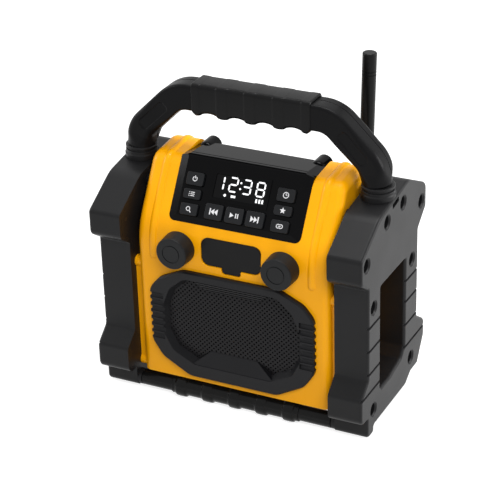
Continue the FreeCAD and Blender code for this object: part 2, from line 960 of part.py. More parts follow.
def bezel_side():
    """Side view of the bezel: foot bevel, flat panel, visor corner and the cover behind it."""
    foot = panel_point(0, 0)
    visor = panel_point(flat_length, bezel_rise)
    return [
        (visor[0], foot[1] - 20.0),
        panel_point(0, -20.0),
        foot,
        panel_point(foot_bevel_width, bezel_rise),
        (visor[0], visor[1], visor_radius),
        (cover_back[0], cover_back[1], cover_back_radius),
        cover_rear,
        (cover_rear[0], foot[1] - 20.0),
    ]


def bezel_side_bevel():
    """Wedge that takes the bezel's +X edge down to the housing along panel and cover."""
    low_x = bezel_half_width - side_bevel_width
    high_x = bezel_half_width + side_bevel_width
    visor = panel_plane(bezel_rise)(0, flat_length)
    section = [(low_x, 0), (high_x, 0), (high_x, -2 * bezel_rise)]
    panel_wedge_foot = visor - panel_up * (2 * flat_length)
    along_panel = lambda x, drop: panel_wedge_foot + Vector(x, 0, 0) + panel_out * drop
    panel_wedge = slab(section, along_panel, panel_up * (2 * flat_length))
    back = Vector(0, cover_back[0] - visor.y, cover_back[1] - visor.z)
    back.normalize()
    cover_out = Vector(1, 0, 0).cross(back)
    along_cover = lambda x, drop: visor + Vector(x, 0, 0) + cover_out * drop
    cover_wedge = slab(section, along_cover, back * far)
    return panel_wedge, cover_wedge


def bezel_body():
    """Panel and cover in one shell that follows the housing, bevelled on all sides."""
    half = bezel_half_width
    outer = slab(bezel_side(), side_plane(-half), Vector(2 * half, 0, 0))
    plan = rectangle(-half, 0, half, 3 * flat_length, bezel_corner)
    outer = outer.common(slab(plan, panel_plane(-far), panel_out * (2 * far)))
    for wedge in bezel_side_bevel():
        outer = outer.cut(wedge).cut(mirrored(wedge))
    seat = slab(rectangle(-far, -far, far, flat_length), panel_plane(-bezel_seat_depth), panel_out * -far)
    outer = outer.cut(seat)
    visor = panel_plane(-bezel_seat_depth)(0, flat_length - 1.5)
    hollow_half = half - cover_thickness_z
    hollow = slab([(visor.y, 0), (cover_rear[0] - cover_thickness_z, 0),
                   (cover_rear[0] - cover_thickness_z, cover_rear[1] - 1.0),
                   (cover_back[0] - 1.0, cover_back[1] - cover_thickness_z), (visor.y, visor.z)],
                  side_plane(-hollow_half), Vector(2 * hollow_half, 0, 0))
    skirt_low = block((-far, visor.y, 0), (far, far, cover_rear[1]))
    return outer.cut(hollow).cut(skirt_low)


def bezel_ear():
    """Half-round ear at the rear end of one side of the cover, domed at its front."""
    front = Vector(ear_x, ear_front_y, ear_top_z - ear_radius)
    rear = Vector(ear_x, cover_rear[0], ear_top_z - ear_radius)
    ear = cylinder(front, rear, ear_radius).fuse(Part.makeSphere(ear_radius, front)).removeSplitter()
    under = block((0, -far, 0), (far, far, cover_rear[1] + 1.0))
    return ear.cut(under)


def button_places():
    """Name, panel x, panel height, width and height of each of the nine buttons."""
    places = []
    for side, names in ((-1, ("power", "mode", "scan")), (1, ("time", "preset", "pair"))):
        for name, (v, height) in zip(names, column_rows):
            places.append((name, side * column_x, v, column_button_width, height))
    v, height = middle_row
    for step, name in zip((-1, 0, 1), ("previous", "play", "next")):
        places.append((name, step * middle_pitch, v, middle_button_width, height))
    return places


def button_corners(x, v, width, height, grow):
    half_u = width / 2 + grow
    half_v = height / 2 + grow
    return rectangle(x - half_u, v - half_v, x + half_u, v + half_v, button_corner)


def display_corners(grow):
    return rectangle(-display_half_width - grow, display_low - grow,
                     display_half_width + grow, display_high + grow, display_corner)


def control_bezel():
    ear = bezel_ear()
    frame_face = bezel_rise + display_frame_height
    frame = slab(display_corners(display_frame), panel_plane(0), panel_out * frame_face)
    bezel = fused([bezel_body(), ear, mirrored(ear), frame] + board_posts())
    through = panel_out * (2 * far)
    cuts = [slab(display_corners(seat_gap), panel_plane(-far), through)]
    groove_half = bezel_half_width - side_bevel_width
    groove_z = cover_back[1] + 2.0 - visor_groove_depth
    groove_back_y = visor_groove_y + visor_groove_width
    cuts.append(block((-groove_half, visor_groove_y, groove_z), (groove_half, groove_back_y, far)))
    for _, x, v, width, height in button_places():
        corners = button_corners(x, v, width, height, button_gap)
        cuts.append(slab(corners, panel_plane(-far), through))
    return bezel.cut(fused(cuts))


def board_posts():
    """Short posts behind the bezel that carry the button board."""
    found = []
    for side in all_sides:
        for v in (15.8, 26.3):
            foot = panel_plane(0)(side * 25.6, v)
            found.append(cylinder(foot, foot - panel_out * (bezel_seat_depth + board_drop), 1.0))
    return found


def display_window():
    return slab(display_corners(0), panel_plane(bezel_rise - lens_thickness), panel_out * lens_thickness)


def display_module():
    """Clock display from the board up to the window."""
    low = -bezel_seat_depth - board_drop
    return slab(display_corners(-0.5), panel_plane(low), panel_out * (bezel_rise - lens_thickness - low))


def panel_board():
    """Board behind the bezel with a press switch under each button."""
    half = bezel_half_width - bezel_ledge - 1.0
    top = -bezel_seat_depth - board_drop
    corners = rectangle(-half, bezel_ledge + 1.0, half, display_high + 2.0, 1.0)
    parts = [slab(corners, panel_plane(top - board_thickness), panel_out * board_thickness)]
    for _, x, v, _, _ in button_places():
        half_switch = switch_size / 2
        switch = rectangle(x - half_switch, v - half_switch, x + half_switch, v + half_switch)
        parts.append(slab(switch, panel_plane(top), panel_out * switch_height))
    return fused(parts)


def button(x, v, width, height):
    """Key cap with a retaining flange behind the bezel; it travels into the panel."""
    flange_low = -bezel_seat_depth - 0.1 - button_flange_thickness
    face = bezel_rise + button_rise
    back = panel_plane(flange_low)
    cap = slab(button_corners(x, v, width, height, 0), back, panel_out * (face - flange_low))
    edges = [edge for edge in cap.Edges if (edge.CenterOfMass - panel_origin).dot(panel_out) > face - 0.05]
    cap = cap.makeFillet(0.5, edges)
    flange_corners = button_corners(x, v, width, height, button_flange)
    flange = slab(flange_corners, back, panel_out * button_flange_thickness)
    return cap.fuse(flange).removeSplitter()


# Knobs
def knob(side):
    """Tapered knob with a ring cut in its face; its bore takes the shaft."""
    back_y = housing_front_y - knob_gap
    face_y = back_y - knob_length
    ring_in = knob_ring_radius - knob_ring_width / 2
    ring_out = knob_ring_radius + knob_ring_width / 2
    floor_y = face_y + knob_ring_depth
    bore_y = back_y - shaft_engagement
    corners = [
        (shaft_radius, back_y),
        (knob_base_radius, back_y),
        (knob_face_radius, face_y, knob_edge),
        (ring_out, face_y),
        (ring_out, floor_y),
        (ring_in, floor_y),
        (ring_in, face_y),
        (0, face_y),
        (0, bore_y),
        (shaft_radius, bore_y),
    ]
    place = lambda radius, y: Vector(side * knob_x + radius, y, knob_z)
    return turned(corners, place, Vector(side * knob_x, 0, knob_z), Vector(0, 1, 0))


def knob_shaft(side):
    start = Vector(side * knob_x, housing_front_y - knob_gap - shaft_engagement, knob_z)
    end = Vector(side * knob_x, housing_front_y + encoder_pad_depth + shaft_tail, knob_z)
    return cylinder(start, end, shaft_radius)


def encoder(side):
    """Rotary encoder: a bush through the front wall and a square body behind it."""
    x = side * knob_x
    seat_y = housing_front_y + encoder_pad_depth
    half = encoder_size / 2
    bush = cylinder(Vector(x, housing_front_y, knob_z), Vector(x, seat_y, knob_z), bush_radius)
    body = block((x - half, seat_y, knob_z - half), (x + half, seat_y + encoder_depth, knob_z + half))
    bore_end = Vector(x, seat_y + shaft_tail + shaft_running_gap, knob_z)
    bore = cylinder(Vector(x, housing_front_y - 1, knob_z), bore_end, shaft_radius + shaft_running_gap)
    return bush.fuse(body).removeSplitter().cut(bore)


# Port bay
def port_block(start_y, end_y):
    corners = rectangle(-port_half_width, port_low_z, port_half_width, port_high_z, port_corner)
    return slab(corners, front_plane(start_y), Vector(0, end_y - start_y, 0))


def port_tray():
    """Back plate of the port bay, with a hole for each socket."""
    back_y = housing_front_y + port_depth
    plate = port_block(back_y, back_y + port_wall)
    return plate.cut(fused(socket_holes(back_y - 1, port_wall + 2)))


def port_walls():
    """Four strips round the port bay, from the flap's seat to the back plate."""
    ring = port_block(housing_front_y + flap_depth, housing_front_y + port_depth)
    inner_x = port_half_width - port_wall
    low_z = port_low_z + port_wall
    high_z = port_high_z - port_wall
    strips = [
        block((-far, -far, high_z), (far, far, far)),
        block((-far, -far, 0), (far, far, low_z)),
        block((inner_x, -far, low_z), (far, far, high_z)),
        block((-far, -far, low_z), (-inner_x, far, high_z)),
    ]
    return Part.makeCompound([ring.common(strip) for strip in strips])


def socket_holes(start_y, depth):
    place = front_plane(start_y)
    reach = Vector(0, depth, 0)
    holes = [slab(centred(usb_x, port_middle_z, usb_width, usb_height, 0.3), place, reach)]
    holes.append(slab(centred(card_x, card_z, card_width, card_height, 0.3), place, reach))
    holes.append(slab(centred(charge_x, charge_z, charge_width, charge_height, 1.2), place, reach))
    start = Vector(jack_x, start_y, port_middle_z)
    holes.append(cylinder(start, start + reach, jack_radius + jack_mouth_gap))
    return holes


def centred(x, z, width, height, radius):
    return rectangle(x - width / 2, z - height / 2, x + width / 2, z + height / 2, radius)


def socket_body(x, z, width, height, radius):
    """Metal can of a socket, open at the tray and closed at the board."""
    start_y = housing_front_y + port_depth + port_wall
    grow = 2 * usb_shell
    can = slab(centred(x, z, width + grow, height + grow, radius + usb_shell),
               front_plane(start_y), Vector(0, socket_depth, 0))
    hollow = slab(centred(x, z, width, height, radius), front_plane(start_y - 1),
                  Vector(0, socket_depth - usb_shell, 0))
    return can.cut(hollow)


def jack_socket():
    start_y = housing_front_y + port_depth + port_wall
    half = jack_body / 2
    body = block((jack_x - half, start_y, port_middle_z - half),
                 (jack_x + half, start_y + socket_depth, port_middle_z + half))
    start = Vector(jack_x, start_y - 1, port_middle_z)
    return body.cut(cylinder(start, start + Vector(0, socket_depth, 0), jack_radius))


def port_board():
    start_y = housing_front_y + port_depth + port_wall + socket_depth
    corners = rectangle(-port_half_width, port_low_z, port_half_width, port_high_z, 1.0)
    return slab(corners, front_plane(start_y), Vector(0, board_thickness, 0))


def flap_shape(grow, start_y, depth):
    """Outline of the flap with its pull tab, grown all round and pulled back along +Y."""
    place = front_plane(start_y)
    plate = slab(rectangle(-flap_half_width - grow, flap_low_z - grow, flap_half_width + grow,
                           flap_high_z + grow, flap_corner), place, Vector(0, depth, 0))
    tab = slab(rectangle(-tab_half_width - grow, tab_low_z - grow, tab_half_width + grow,
                         flap_low_z + flap_corner, 2.5), place, Vector(0, depth, 0))
    return plate.fuse(tab).removeSplitter()


def port_flap():
    """Rubber flap with a pull tab; a lip behind it plugs the tray."""
    front_y = housing_front_y + flap_inset
    flap = flap_shape(0, front_y, flap_thickness)
    edges = [edge for edge in flap.Edges if edge.BoundBox.YMax < front_y + 0.01]
    flap = flap.makeFillet(0.5, edges)
    inset = port_wall + flap_gap
    lip_low_z = port_low_z + port_wall + flap_swing_gap
    lip = slab(rectangle(-port_half_width + inset, lip_low_z, port_half_width - inset,
                         port_high_z - inset - 1.5, port_corner - port_wall),
               front_plane(front_y + flap_thickness), Vector(0, flap_lip_depth, 0))
    return flap.fuse(lip).removeSplitter()


# Speaker
def offset_corners(corners, grow):
    """Corner list of a convex outline moved out by grow; the radii grow with it."""
    moved = []
    for index, corner in enumerate(corners):
        here = Vector(corner[0], corner[1], 0)
        before = corners[index - 1]
        after = corners[(index + 1) % len(corners)]
        back = (Vector(before[0], before[1], 0) - here).normalize()
        ahead = (Vector(after[0], after[1], 0) - here).normalize()
        half = back.getAngle(ahead) / 2
        out = (back + ahead).normalize() * (-grow / math.sin(half))
        moved.append((here.x + out.x, here.y + out.y, max(corner[2] + grow, 0.5)))
    return moved


def both_sides(right_half, radius):
    """Closed outline from the corners of its +X half, listed from the bottom up."""
    right = [(x, z, radius) for x, z in right_half]
    left = [(-x, z, radius) for x, z in reversed(right_half)]
    return right + left


def speaker_corners():
    right = [(speaker_bottom_half, speaker_bottom_z), speaker_hip,
             (speaker_half_width, speaker_side_low_z), (speaker_half_width, speaker_side_high_z),
             speaker_shoulder, (speaker_top_half, speaker_top_z)]
    return both_sides(right, speaker_corner)


def mesh_corners():
    right = [(mesh_bottom_half, mesh_bottom_z), mesh_hip, (mesh_half_width, mesh_side_low_z),
             (mesh_half_width, mesh_side_high_z), mesh_shoulder, (mesh_top_half, mesh_top_z)]
    return both_sides(right, mesh_corner)


def speaker_frame():
    """Eight-sided frame round the grille, scalloped at both sides, with a scoop and louvres."""
    face_y = housing_front_y - speaker_rise
    mesh_y = face_y + mesh_depth
    back_y = housing_front_y + spigot_depth
    plate = slab(speaker_corners(), front_plane(housing_front_y), Vector(0, -speaker_rise, 0))
    edges = [edge for edge in plate.Edges if edge.BoundBox.YMax < face_y + 0.01]
    plate = plate.makeChamfer(speaker_edge, edges)
    spigot_outline = offset_corners(speaker_corners(), -spigot_inset - seat_gap)
    spigot = slab(spigot_outline, front_plane(housing_front_y), Vector(0, spigot_depth, 0))
    frame = plate.fuse(spigot).removeSplitter()
    mouth = outline(offset_corners(mesh_corners(), mesh_flare), front_plane(face_y))
    throat = outline(mesh_corners(), front_plane(mesh_y))
    frame = frame.cut(Part.makeLoft([mouth, throat], True, True))
    seat = offset_corners(mesh_corners(), grille_overlap)
    frame = frame.cut(slab(seat, front_plane(mesh_y), Vector(0, back_y - mesh_y, 0)))
    frame = frame.cut(fused(scallops(face_y)))
    return fused([frame, scoop(face_y, mesh_y), louvres(face_y, mesh_y)])


def scallops(face_y):
    """Round flutes across both side members of the speaker frame and down their outer edge."""
    flutes = []
    edge_x = speaker_half_width - scallop_edge_depth + scallop_radius
    for index in range(scallop_count):
        z = scallop_middle_z + (index - (scallop_count - 1) / 2) * scallop_pitch
        y = face_y + scallop_depth - scallop_radius
        low_x = mesh_half_width + mesh_flare - 1.0
        across = cylinder(Vector(low_x, y, z), Vector(far / 2, y, z), scallop_radius)
        down = cylinder(Vector(edge_x, face_y - 1, z), Vector(edge_x, housing_front_y, z), scallop_radius)
        flute = across.fuse(down)
        flutes += [flute, mirrored(flute)]
    return flutes


def scoop(face_y, mesh_y):
    """Sloping lip that rises over the lower edge of the grille."""
    front_y = face_y + scoop_front
    side_shape = [(mesh_y, speaker_bottom_z + 6.0), (front_y, speaker_bottom_z + 6.0),
                  (front_y, scoop_low_z), (mesh_y - 1.2, scoop_top_z, 1.0), (mesh_y, scoop_top_z)]
    ramp = slab(side_shape, side_plane(-scoop_low_half), Vector(2 * scoop_low_half, 0, 0))
    right = [(scoop_low_half, speaker_bottom_z), (scoop_low_half, scoop_low_z),
             (scoop_top_half, scoop_top_z)]
    plan = slab(both_sides(right, 0.0), front_plane(face_y - 1), Vector(0, far, 0))
    return ramp.common(plan)


def louvres(face_y, mesh_y):
    """Sloping hood under the upper edge of the grille, with a groove above each of its ribs."""
    high_z = mesh_top_z + mesh_flare
    low_z = high_z - louvre_count * louvre_pitch
    front_y = face_y + louvre_front
    side_shape = [(front_y, high_z), (mesh_y, high_z), (mesh_y, low_z), (mesh_y - 1.0, low_z)]
    hood = slab(side_shape, side_plane(-louvre_top_half), Vector(2 * louvre_top_half, 0, 0))
    right = [(louvre_low_half, low_z), (louvre_top_half, high_z)]
    hood = hood.common(slab(both_sides(right, 0.0), front_plane(face_y - 1), Vector(0, far, 0)))
    slope = (mesh_y - 1.0 - front_y) / (high_z - low_z)
    grooves = []
    for index in range(louvre_count):
        z = high_z - (index + 0.5) * louvre_pitch
        y = front_y + (high_z - z) * slope
        half_width = louvre_groove_width / 2
        low = (-far, y - 1, z - half_width)
        grooves.append(block(low, (far, y + louvre_groove_depth, z + half_width)))
    return hood.cut(fused(grooves))


def speaker_grille():
    mesh_y = housing_front_y - speaker_rise + mesh_depth
    corners = offset_corners(mesh_corners(), grille_overlap - seat_gap)
    return slab(corners, front_plane(mesh_y), Vector(0, grille_thickness, 0))


def driver_place(radius, y):
    return Vector(radius, y, driver_z)


def driver_turned(corners):
    return turned(corners, driver_place, Vector(0, 0, driver_z), Vector(0, 1, 0))


def driver_basket():
    """Pressed basket: a flat flange against the speaker frame and a tapered bowl."""
    flange_y = housing_front_y + spigot_depth
    inner = cone_radius + 2 * surround_radius
    corners = [
        (inner, flange_y),
        (driver_radius, flange_y),
        (driver_radius, flange_y + driver_flange),
        (inner + basket_skin, flange_y + driver_flange),
        (basket_back_radius, flange_y + basket_depth),
        (8.0, flange_y + basket_depth),
        (8.0, flange_y + basket_depth - basket_skin),
        (basket_back_radius - basket_skin, flange_y + basket_depth - basket_skin),
        (inner, flange_y + driver_flange),
    ]
    return driver_turned(corners)


def driver_cone():
    """Paper cone with its rolled surround and dust cap, one piece of sheet."""
    flange_y = housing_front_y + spigot_depth
    edge_y = flange_y + driver_flange / 2
    outer = cone_radius + 2 * surround_radius
    corners = [
        (outer, edge_y),
        (outer, edge_y + cone_skin),
        (cone_radius, edge_y + cone_skin),
        (cap_radius, edge_y + cone_depth + cone_skin),
        (0, edge_y + cone_depth + cone_skin),
        (0, edge_y + cone_depth - cap_rise),
        (cap_radius, edge_y + cone_depth),
        (cone_radius, edge_y),
    ]
    return driver_turned(corners)


def driver_magnet():
    start = Vector(0, housing_front_y + spigot_depth + basket_depth, driver_z)
    return cylinder(start, start + Vector(0, magnet_depth, 0), magnet_radius)


# Handle
def handle_section(place, size, radius):
    half = size / 2
    return outline(rectangle(-half, -half, half, half, radius), place)


def handle_tube():
    """Square tube bent from one leg over the grip to the other, round at its feet."""
    level_z = handle_top_z - handle_size / 2
    corners = [(-handle_x, leg_bottom_z), (-handle_x, handle_elbow_z), (-handle_knee_x, level_z),
               (handle_knee_x, level_z), (handle_x, handle_elbow_z), (handle_x, leg_bottom_z)]
    radii = [0, handle_elbow_radius, handle_knee_radius, handle_knee_radius, handle_elbow_radius, 0]
    stops = []
    for index, (corner, radius) in enumerate(zip(corners, radii)):
        if radius > 0:
            stops.append(rounded_corner(corners[index - 1], corner, corners[index + 1], radius))
        else:
            here = Vector(corner[0], corner[1], 0)
            stops.append((here, None, here))
    square_z = stops[1][0].y
    stops[0] = (None, None, Vector(-handle_x, square_z, 0))
    stops[-1] = (Vector(handle_x, square_z, 0), None, None)
    place = front_plane(0)
    edges = []
    for index, (start, middle, end) in enumerate(stops[1:], 1):
        last = stops[index - 1][2]
        if last.distanceToPoint(start) > 1e-4:
            edges.append(Part.LineSegment(place(last.x, last.y), place(start.x, start.y)).toShape())
        if middle is not None:
            arc = Part.Arc(place(start.x, start.y), place(middle.x, middle.y), place(end.x, end.y))
            edges.append(arc.toShape())
    section_place = lambda u, v: Vector(-handle_x + u, v, square_z)
    section = handle_section(section_place, handle_size, handle_corner)
    tube = Part.Wire(edges).makePipeShell([section], True, True)
    foot = handle_foot(square_z)
    return fused([tube, foot, mirrored(foot)])


def handle_foot(square_z):
    """Leg that turns from square to round above the collar, with the plug below it."""
    round_half = 0.999 * leg_radius
    high_place = lambda u, v: Vector(handle_x + u, v, square_z)
    low_place = lambda u, v: Vector(handle_x + u, v, leg_round_z)
    high = handle_section(high_place, handle_size, handle_corner)
    low = outline(rectangle(-leg_radius, -leg_radius, leg_radius, leg_radius, round_half), low_place)
    blend = Part.makeLoft([low, high], True, True)
    shank = cylinder(Vector(handle_x, 0, leg_bottom_z), Vector(handle_x, 0, leg_round_z), leg_radius)
    plug = cylinder(Vector(handle_x, 0, plug_bottom_z), Vector(handle_x, 0, leg_bottom_z), plug_radius)
    return fused([blend, shank, plug])


def side_panel_recess():
    """Shallow recess on the front of the slanting part of the handle."""
    level_z = handle_top_z - handle_size / 2
    knee = Vector(handle_knee_x, 0, level_z)
    elbow = Vector(handle_x, 0, handle_elbow_z)
    along = elbow - knee
    length = along.Length
    along.normalize()
    across = Vector(0, 1, 0).cross(along)
    front = Vector(0, -handle_size / 2 + side_panel_depth, 0)
    place = lambda u, v: knee + front + along * u + across * v
    half = side_panel_width / 2
    corners = rectangle(side_panel_knee_inset, -half, length - side_panel_elbow_inset, half, 2.0)
    return slab(corners, place, Vector(0, -far, 0))


def handle_halves():
    tube = handle_tube()
    recess = side_panel_recess()
    tube = tube.cut(recess).cut(mirrored(recess))
    front_space = block((-far, -far, 0), (far, handle_seam_y, far))
    rear_space = block((-far, handle_seam_y, 0), (far, far, far))
    return tube.common(front_space), tube.common(rear_space)


def lobe_centres():
    return [(index - (lobe_count - 1) / 2) * lobe_pitch for index in range(lobe_count)]


def finger_corners():
    """Grip seen from the front: a flat top and an arched finger groove between the lobes."""
    half = grip_half_length
    return [(-half, grip_bottom_z, grip_bevel), (half, grip_bottom_z, grip_bevel),
            (half, grip_top_z, grip_bevel), (-half, grip_top_z, grip_bevel)]


def finger_groove(x):
    """Long arch cut up into the grip between two lobes."""
    half = (lobe_pitch - lobe_width) / 2
    radius = (half * half + finger_rise * finger_rise) / (2 * finger_rise)
    centre_z = grip_bottom_z + finger_rise - radius
    return cylinder(Vector(x, -far / 2, centre_z), Vector(x, far / 2, centre_z), radius)


def handle_grip():
    body = slab(finger_corners(), front_plane(-far / 2), Vector(0, far, 0))
    section = rectangle(-grip_half_depth, grip_bottom_z, grip_half_depth, grip_top_z, grip_corner)
    body = body.common(slab(section, side_plane(-grip_half_length), Vector(2 * grip_half_length, 0, 0)))
    centres = lobe_centres()
    grooves = [finger_groove((low + high) / 2) for low, high in zip(centres, centres[1:])]
    body = body.cut(fused(grooves))
    lobes = []
    half_depth = grip_half_depth + lobe_swell
    lobe_section = rectangle(-half_depth, lobe_bottom_z, half_depth, lobe_top_z, grip_corner)
    for x in centres:
        lobe = slab(lobe_section, side_plane(x - lobe_width / 2), Vector(lobe_width, 0, 0))
        ends = [edge for edge in lobe.Edges if edge.BoundBox.XLength < 0.01]
        lobes.append(lobe.makeFillet(lobe_round, ends))
    return fused([body] + lobes).cut(handle_tube())


def handle_collar():
    """Double ring round the leg, seated on the frame's sloping top."""
    ring = leg_bottom_z - collar_ring_height
    groove = ring - collar_groove_height
    corners = [
        (plug_radius, leg_bottom_z),
        (collar_radius, leg_bottom_z, 0.8),
        (collar_radius, ring, 0.5),
        (collar_groove_radius, ring),
        (collar_groove_radius, groove),
        (collar_radius, groove, 0.5),
        (collar_radius, groove - collar_ring_height, 0.5),
        (collar_radius + 0.6, groove - collar_ring_height - 1.0),
        (collar_radius + 0.6, collar_foot_z),
        (plug_radius, collar_foot_z),
    ]
    place = lambda radius, z: Vector(handle_x + radius, 0, z)
    collar = turned(corners, place, Vector(handle_x, 0, 0), Vector(0, 0, 1))
    frame = Part.Face(outline(frame_corners(), side_plane(frame_inner_x - 1)))
    return collar.cut(frame.extrude(Vector(frame_thickness + 2, 0, 0)))


# Foot bar
def foot_bar():
    start = Vector(-bar_half_length, bar_y, bar_z)
    end = Vector(bar_half_length, bar_y, bar_z)
    tube = cylinder(start, end, bar_radius)
    pin_reach = toe_half_start + bar_pin_length
    pin = cylinder(Vector(-pin_reach, bar_y, bar_z), Vector(pin_reach, bar_y, bar_z), bar_pin_radius)
    return tube.fuse(pin).removeSplitter()


def bar_sleeve():
    """Rubber sleeve with a ring at each lobe, cut flat where it rests on the ground."""
    place = lambda x, radius: Vector(x, bar_y + radius, bar_z)
    centre = Vector(0, bar_y, bar_z)
    axis = Vector(1, 0, 0)
    half = bar_sleeve_half
    waist = [(-half, bar_radius), (half, bar_radius),
             (half, bar_waist_radius, 0.5), (-half, bar_waist_radius, 0.5)]
    parts = [turned(waist, place, centre, axis)]
    for x in lobe_centres():
        low = x - lobe_width / 2
        high = x + lobe_width / 2
        ring = [(low, bar_radius), (high, bar_radius), (high, bar_lobe_radius, bar_lobe_round),
                (low, bar_lobe_radius, bar_lobe_round)]
        parts.append(turned(ring, place, centre, axis))
    ground = block((-far, -far, -far), (far, far, 0))
    return fused(parts).cut(ground)


# Antenna
def leaning(shape):
    """The shape turned about the pivot by the antenna's lean."""
    turned_shape = shape.copy()
    turned_shape.rotate(Vector(antenna_x, antenna_y, antenna_z), Vector(0, 1, 0), antenna_lean)
    return turned_shape


def pivot_line(low_y, high_y, radius):
    return cylinder(Vector(antenna_x, low_y, antenna_z), Vector(antenna_x, high_y, antenna_z), radius)


def antenna_rod():
    """Rubber rod with two rings below its cap and a flat tongue at the pivot."""
    top = antenna_length
    ring = top - antenna_cap_length
    corners = [(0, antenna_root), (antenna_radius, antenna_root, 1.0)]
    for index in (1, 0):
        high = ring - index * antenna_ring_pitch
        low = high - antenna_ring_width
        inner = antenna_radius - antenna_ring_depth
        corners += [(antenna_radius, low), (inner, low), (inner, high), (antenna_radius, high)]
    corners += [(antenna_radius, top, 1.0), (0, top)]
    place = lambda radius, v: Vector(antenna_x + radius, antenna_y, antenna_z + v)
    rod = turned(corners, place, Vector(antenna_x, antenna_y, 0), Vector(0, 0, 1))
    low_y = antenna_y - tongue_half
    high_y = antenna_y + tongue_half
    eye = pivot_line(low_y, high_y, tongue_radius)
    neck = block((antenna_x - tongue_radius + 0.8, low_y, antenna_z),
                 (antenna_x + tongue_radius - 0.8, high_y, antenna_z + antenna_root + 1.0))
    bore = pivot_line(low_y - 1, high_y + 1, pivot_radius + pivot_running_gap)
    return leaning(fused([rod, eye, neck]).cut(bore))


def ear_limits():
    """Lowest and highest y of the front ear, then of the rear ear."""
    inner_low = antenna_y - tongue_half - ear_gap
    inner_high = antenna_y + tongue_half + ear_gap
    return (inner_low - ear_thickness, inner_low), (inner_high, inner_high + ear_thickness)


def antenna_base():
    """Forked base on the back of the housing; the pivot pin crosses its two ears."""
    (front_low, front_high), (rear_low, rear_high) = ear_limits()
    low_x = antenna_x - base_half_width
    high_x = antenna_x + base_half_width
    parts = [block((low_x, front_low - 8.0, base_low_z), (high_x, rear_high, base_floor_z))]
    for low_y, high_y in ear_limits():
        corners = [(low_x, base_low_z), (high_x, base_low_z), (high_x, antenna_z + tongue_radius, 4.5),
                   (low_x, antenna_z + tongue_radius, 4.5)]
        parts.append(slab(corners, front_plane(low_y), Vector(0, high_y - low_y, 0)))
    base = fused(parts).cut(housing_block(0)).cut(side_strips())
    return base.cut(pivot_line(front_low - 1, rear_high + 1, pivot_radius))


def antenna_pin():
    (front_low, _), (_, rear_high) = ear_limits()
    return pivot_line(front_low, rear_high, pivot_radius)


# All nodes of the part, by name
def build_nodes():
    nodes = {
        "front_housing": front_housing(),
        "rear_housing": rear_housing(),
        "side_rails": side_rails(),
        "high_spacers": high_spacers(),
        "control_bezel": control_bezel(),
        "display_window": display_window(),
        "display_module": display_module(),
        "panel_board": panel_board(),
        "port_tray": port_tray(),
        "port_walls": port_walls(),
        "usb_socket": socket_body(usb_x, port_middle_z, usb_width, usb_height, 0.3),
        "card_socket": socket_body(card_x, card_z, card_width, card_height, 0.3),
        "charge_socket": socket_body(charge_x, charge_z, charge_width, charge_height, 1.2),
        "audio_jack": jack_socket(),
        "port_board": port_board(),
        "port_flap": port_flap(),
        "speaker_frame": speaker_frame(),
        "speaker_grille": speaker_grille(),
        "driver_basket": driver_basket(),
        "driver_cone": driver_cone(),
        "driver_magnet": driver_magnet(),
        "main_board": main_board(),
        "battery_cells": battery_cells(),
        "cell_contacts": cell_contacts(),
        "battery_door": battery_door(),
        "battery_door_screws": door_screws(),
        "housing_screws": housing_screws(),
        "handle_grip": handle_grip(),
        "foot_bar": foot_bar(),
        "foot_bar_sleeve": bar_sleeve(),
        "antenna_base": antenna_base(),
        "antenna_pin": antenna_pin(),
        "antenna_rod": antenna_rod(),
    }
    nodes["handle_front"], nodes["handle_rear"] = handle_halves()
    for side, name in ((-1, "left"), (1, "right")):
        nodes[name + "_side_frame"] = on_side(side_frame(), side)
        nodes[name + "_frame_cover"] = on_side(frame_cover(), side)
        nodes[name + "_frame_screws"] = on_side(frame_screws(), side)
        nodes[name + "_rear_pad"] = on_side(rear_pad(), side)
        nodes[name + "_handle_collar"] = on_side(handle_collar(), side)
    for side, name in ((-1, "volume"), (1, "tuning")):
        nodes[name + "_knob"] = knob(side)
        nodes[name + "_shaft"] = knob_shaft(side)
        nodes[name + "_encoder"] = encoder(side)
    for name, x, v, width, height in button_places():
        nodes[name + "_button"] = button(x, v, width, height)
    return nodes


def main():
    os.makedirs("parts", exist_ok=True)
    for name, shape in build_nodes().items():
        shape.exportStep("parts/" + name + ".step")
        box = shape.BoundBox
        print(name, len(shape.Solids), round(shape.Volume), shape.isValid(),
              [round(v, 1) for v in (box.XMin, box.YMin, box.ZMin, box.XMax, box.YMax, box.ZMax)])


main()
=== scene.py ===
# %% [markdown]
# # Dressing a jobsite speaker
#
# The speaker arrives from CAD as a set of named pieces that already have the right shapes, sizes
# and places. This lesson gives each of them the finish of the real thing: moulded plastic with a
# fine grain, rubber, gloss panels, lit digits and a punched steel grille. It also adds what is
# too thin or too fine for the CAD model, such as the signs printed on the buttons.
#
# All lengths are in metres and +Z is up. The speaker's front looks along -Y.

# %% Load the frame
import json
import math

import bmesh
import bpy
import numpy as np
from mathutils import Matrix, Vector


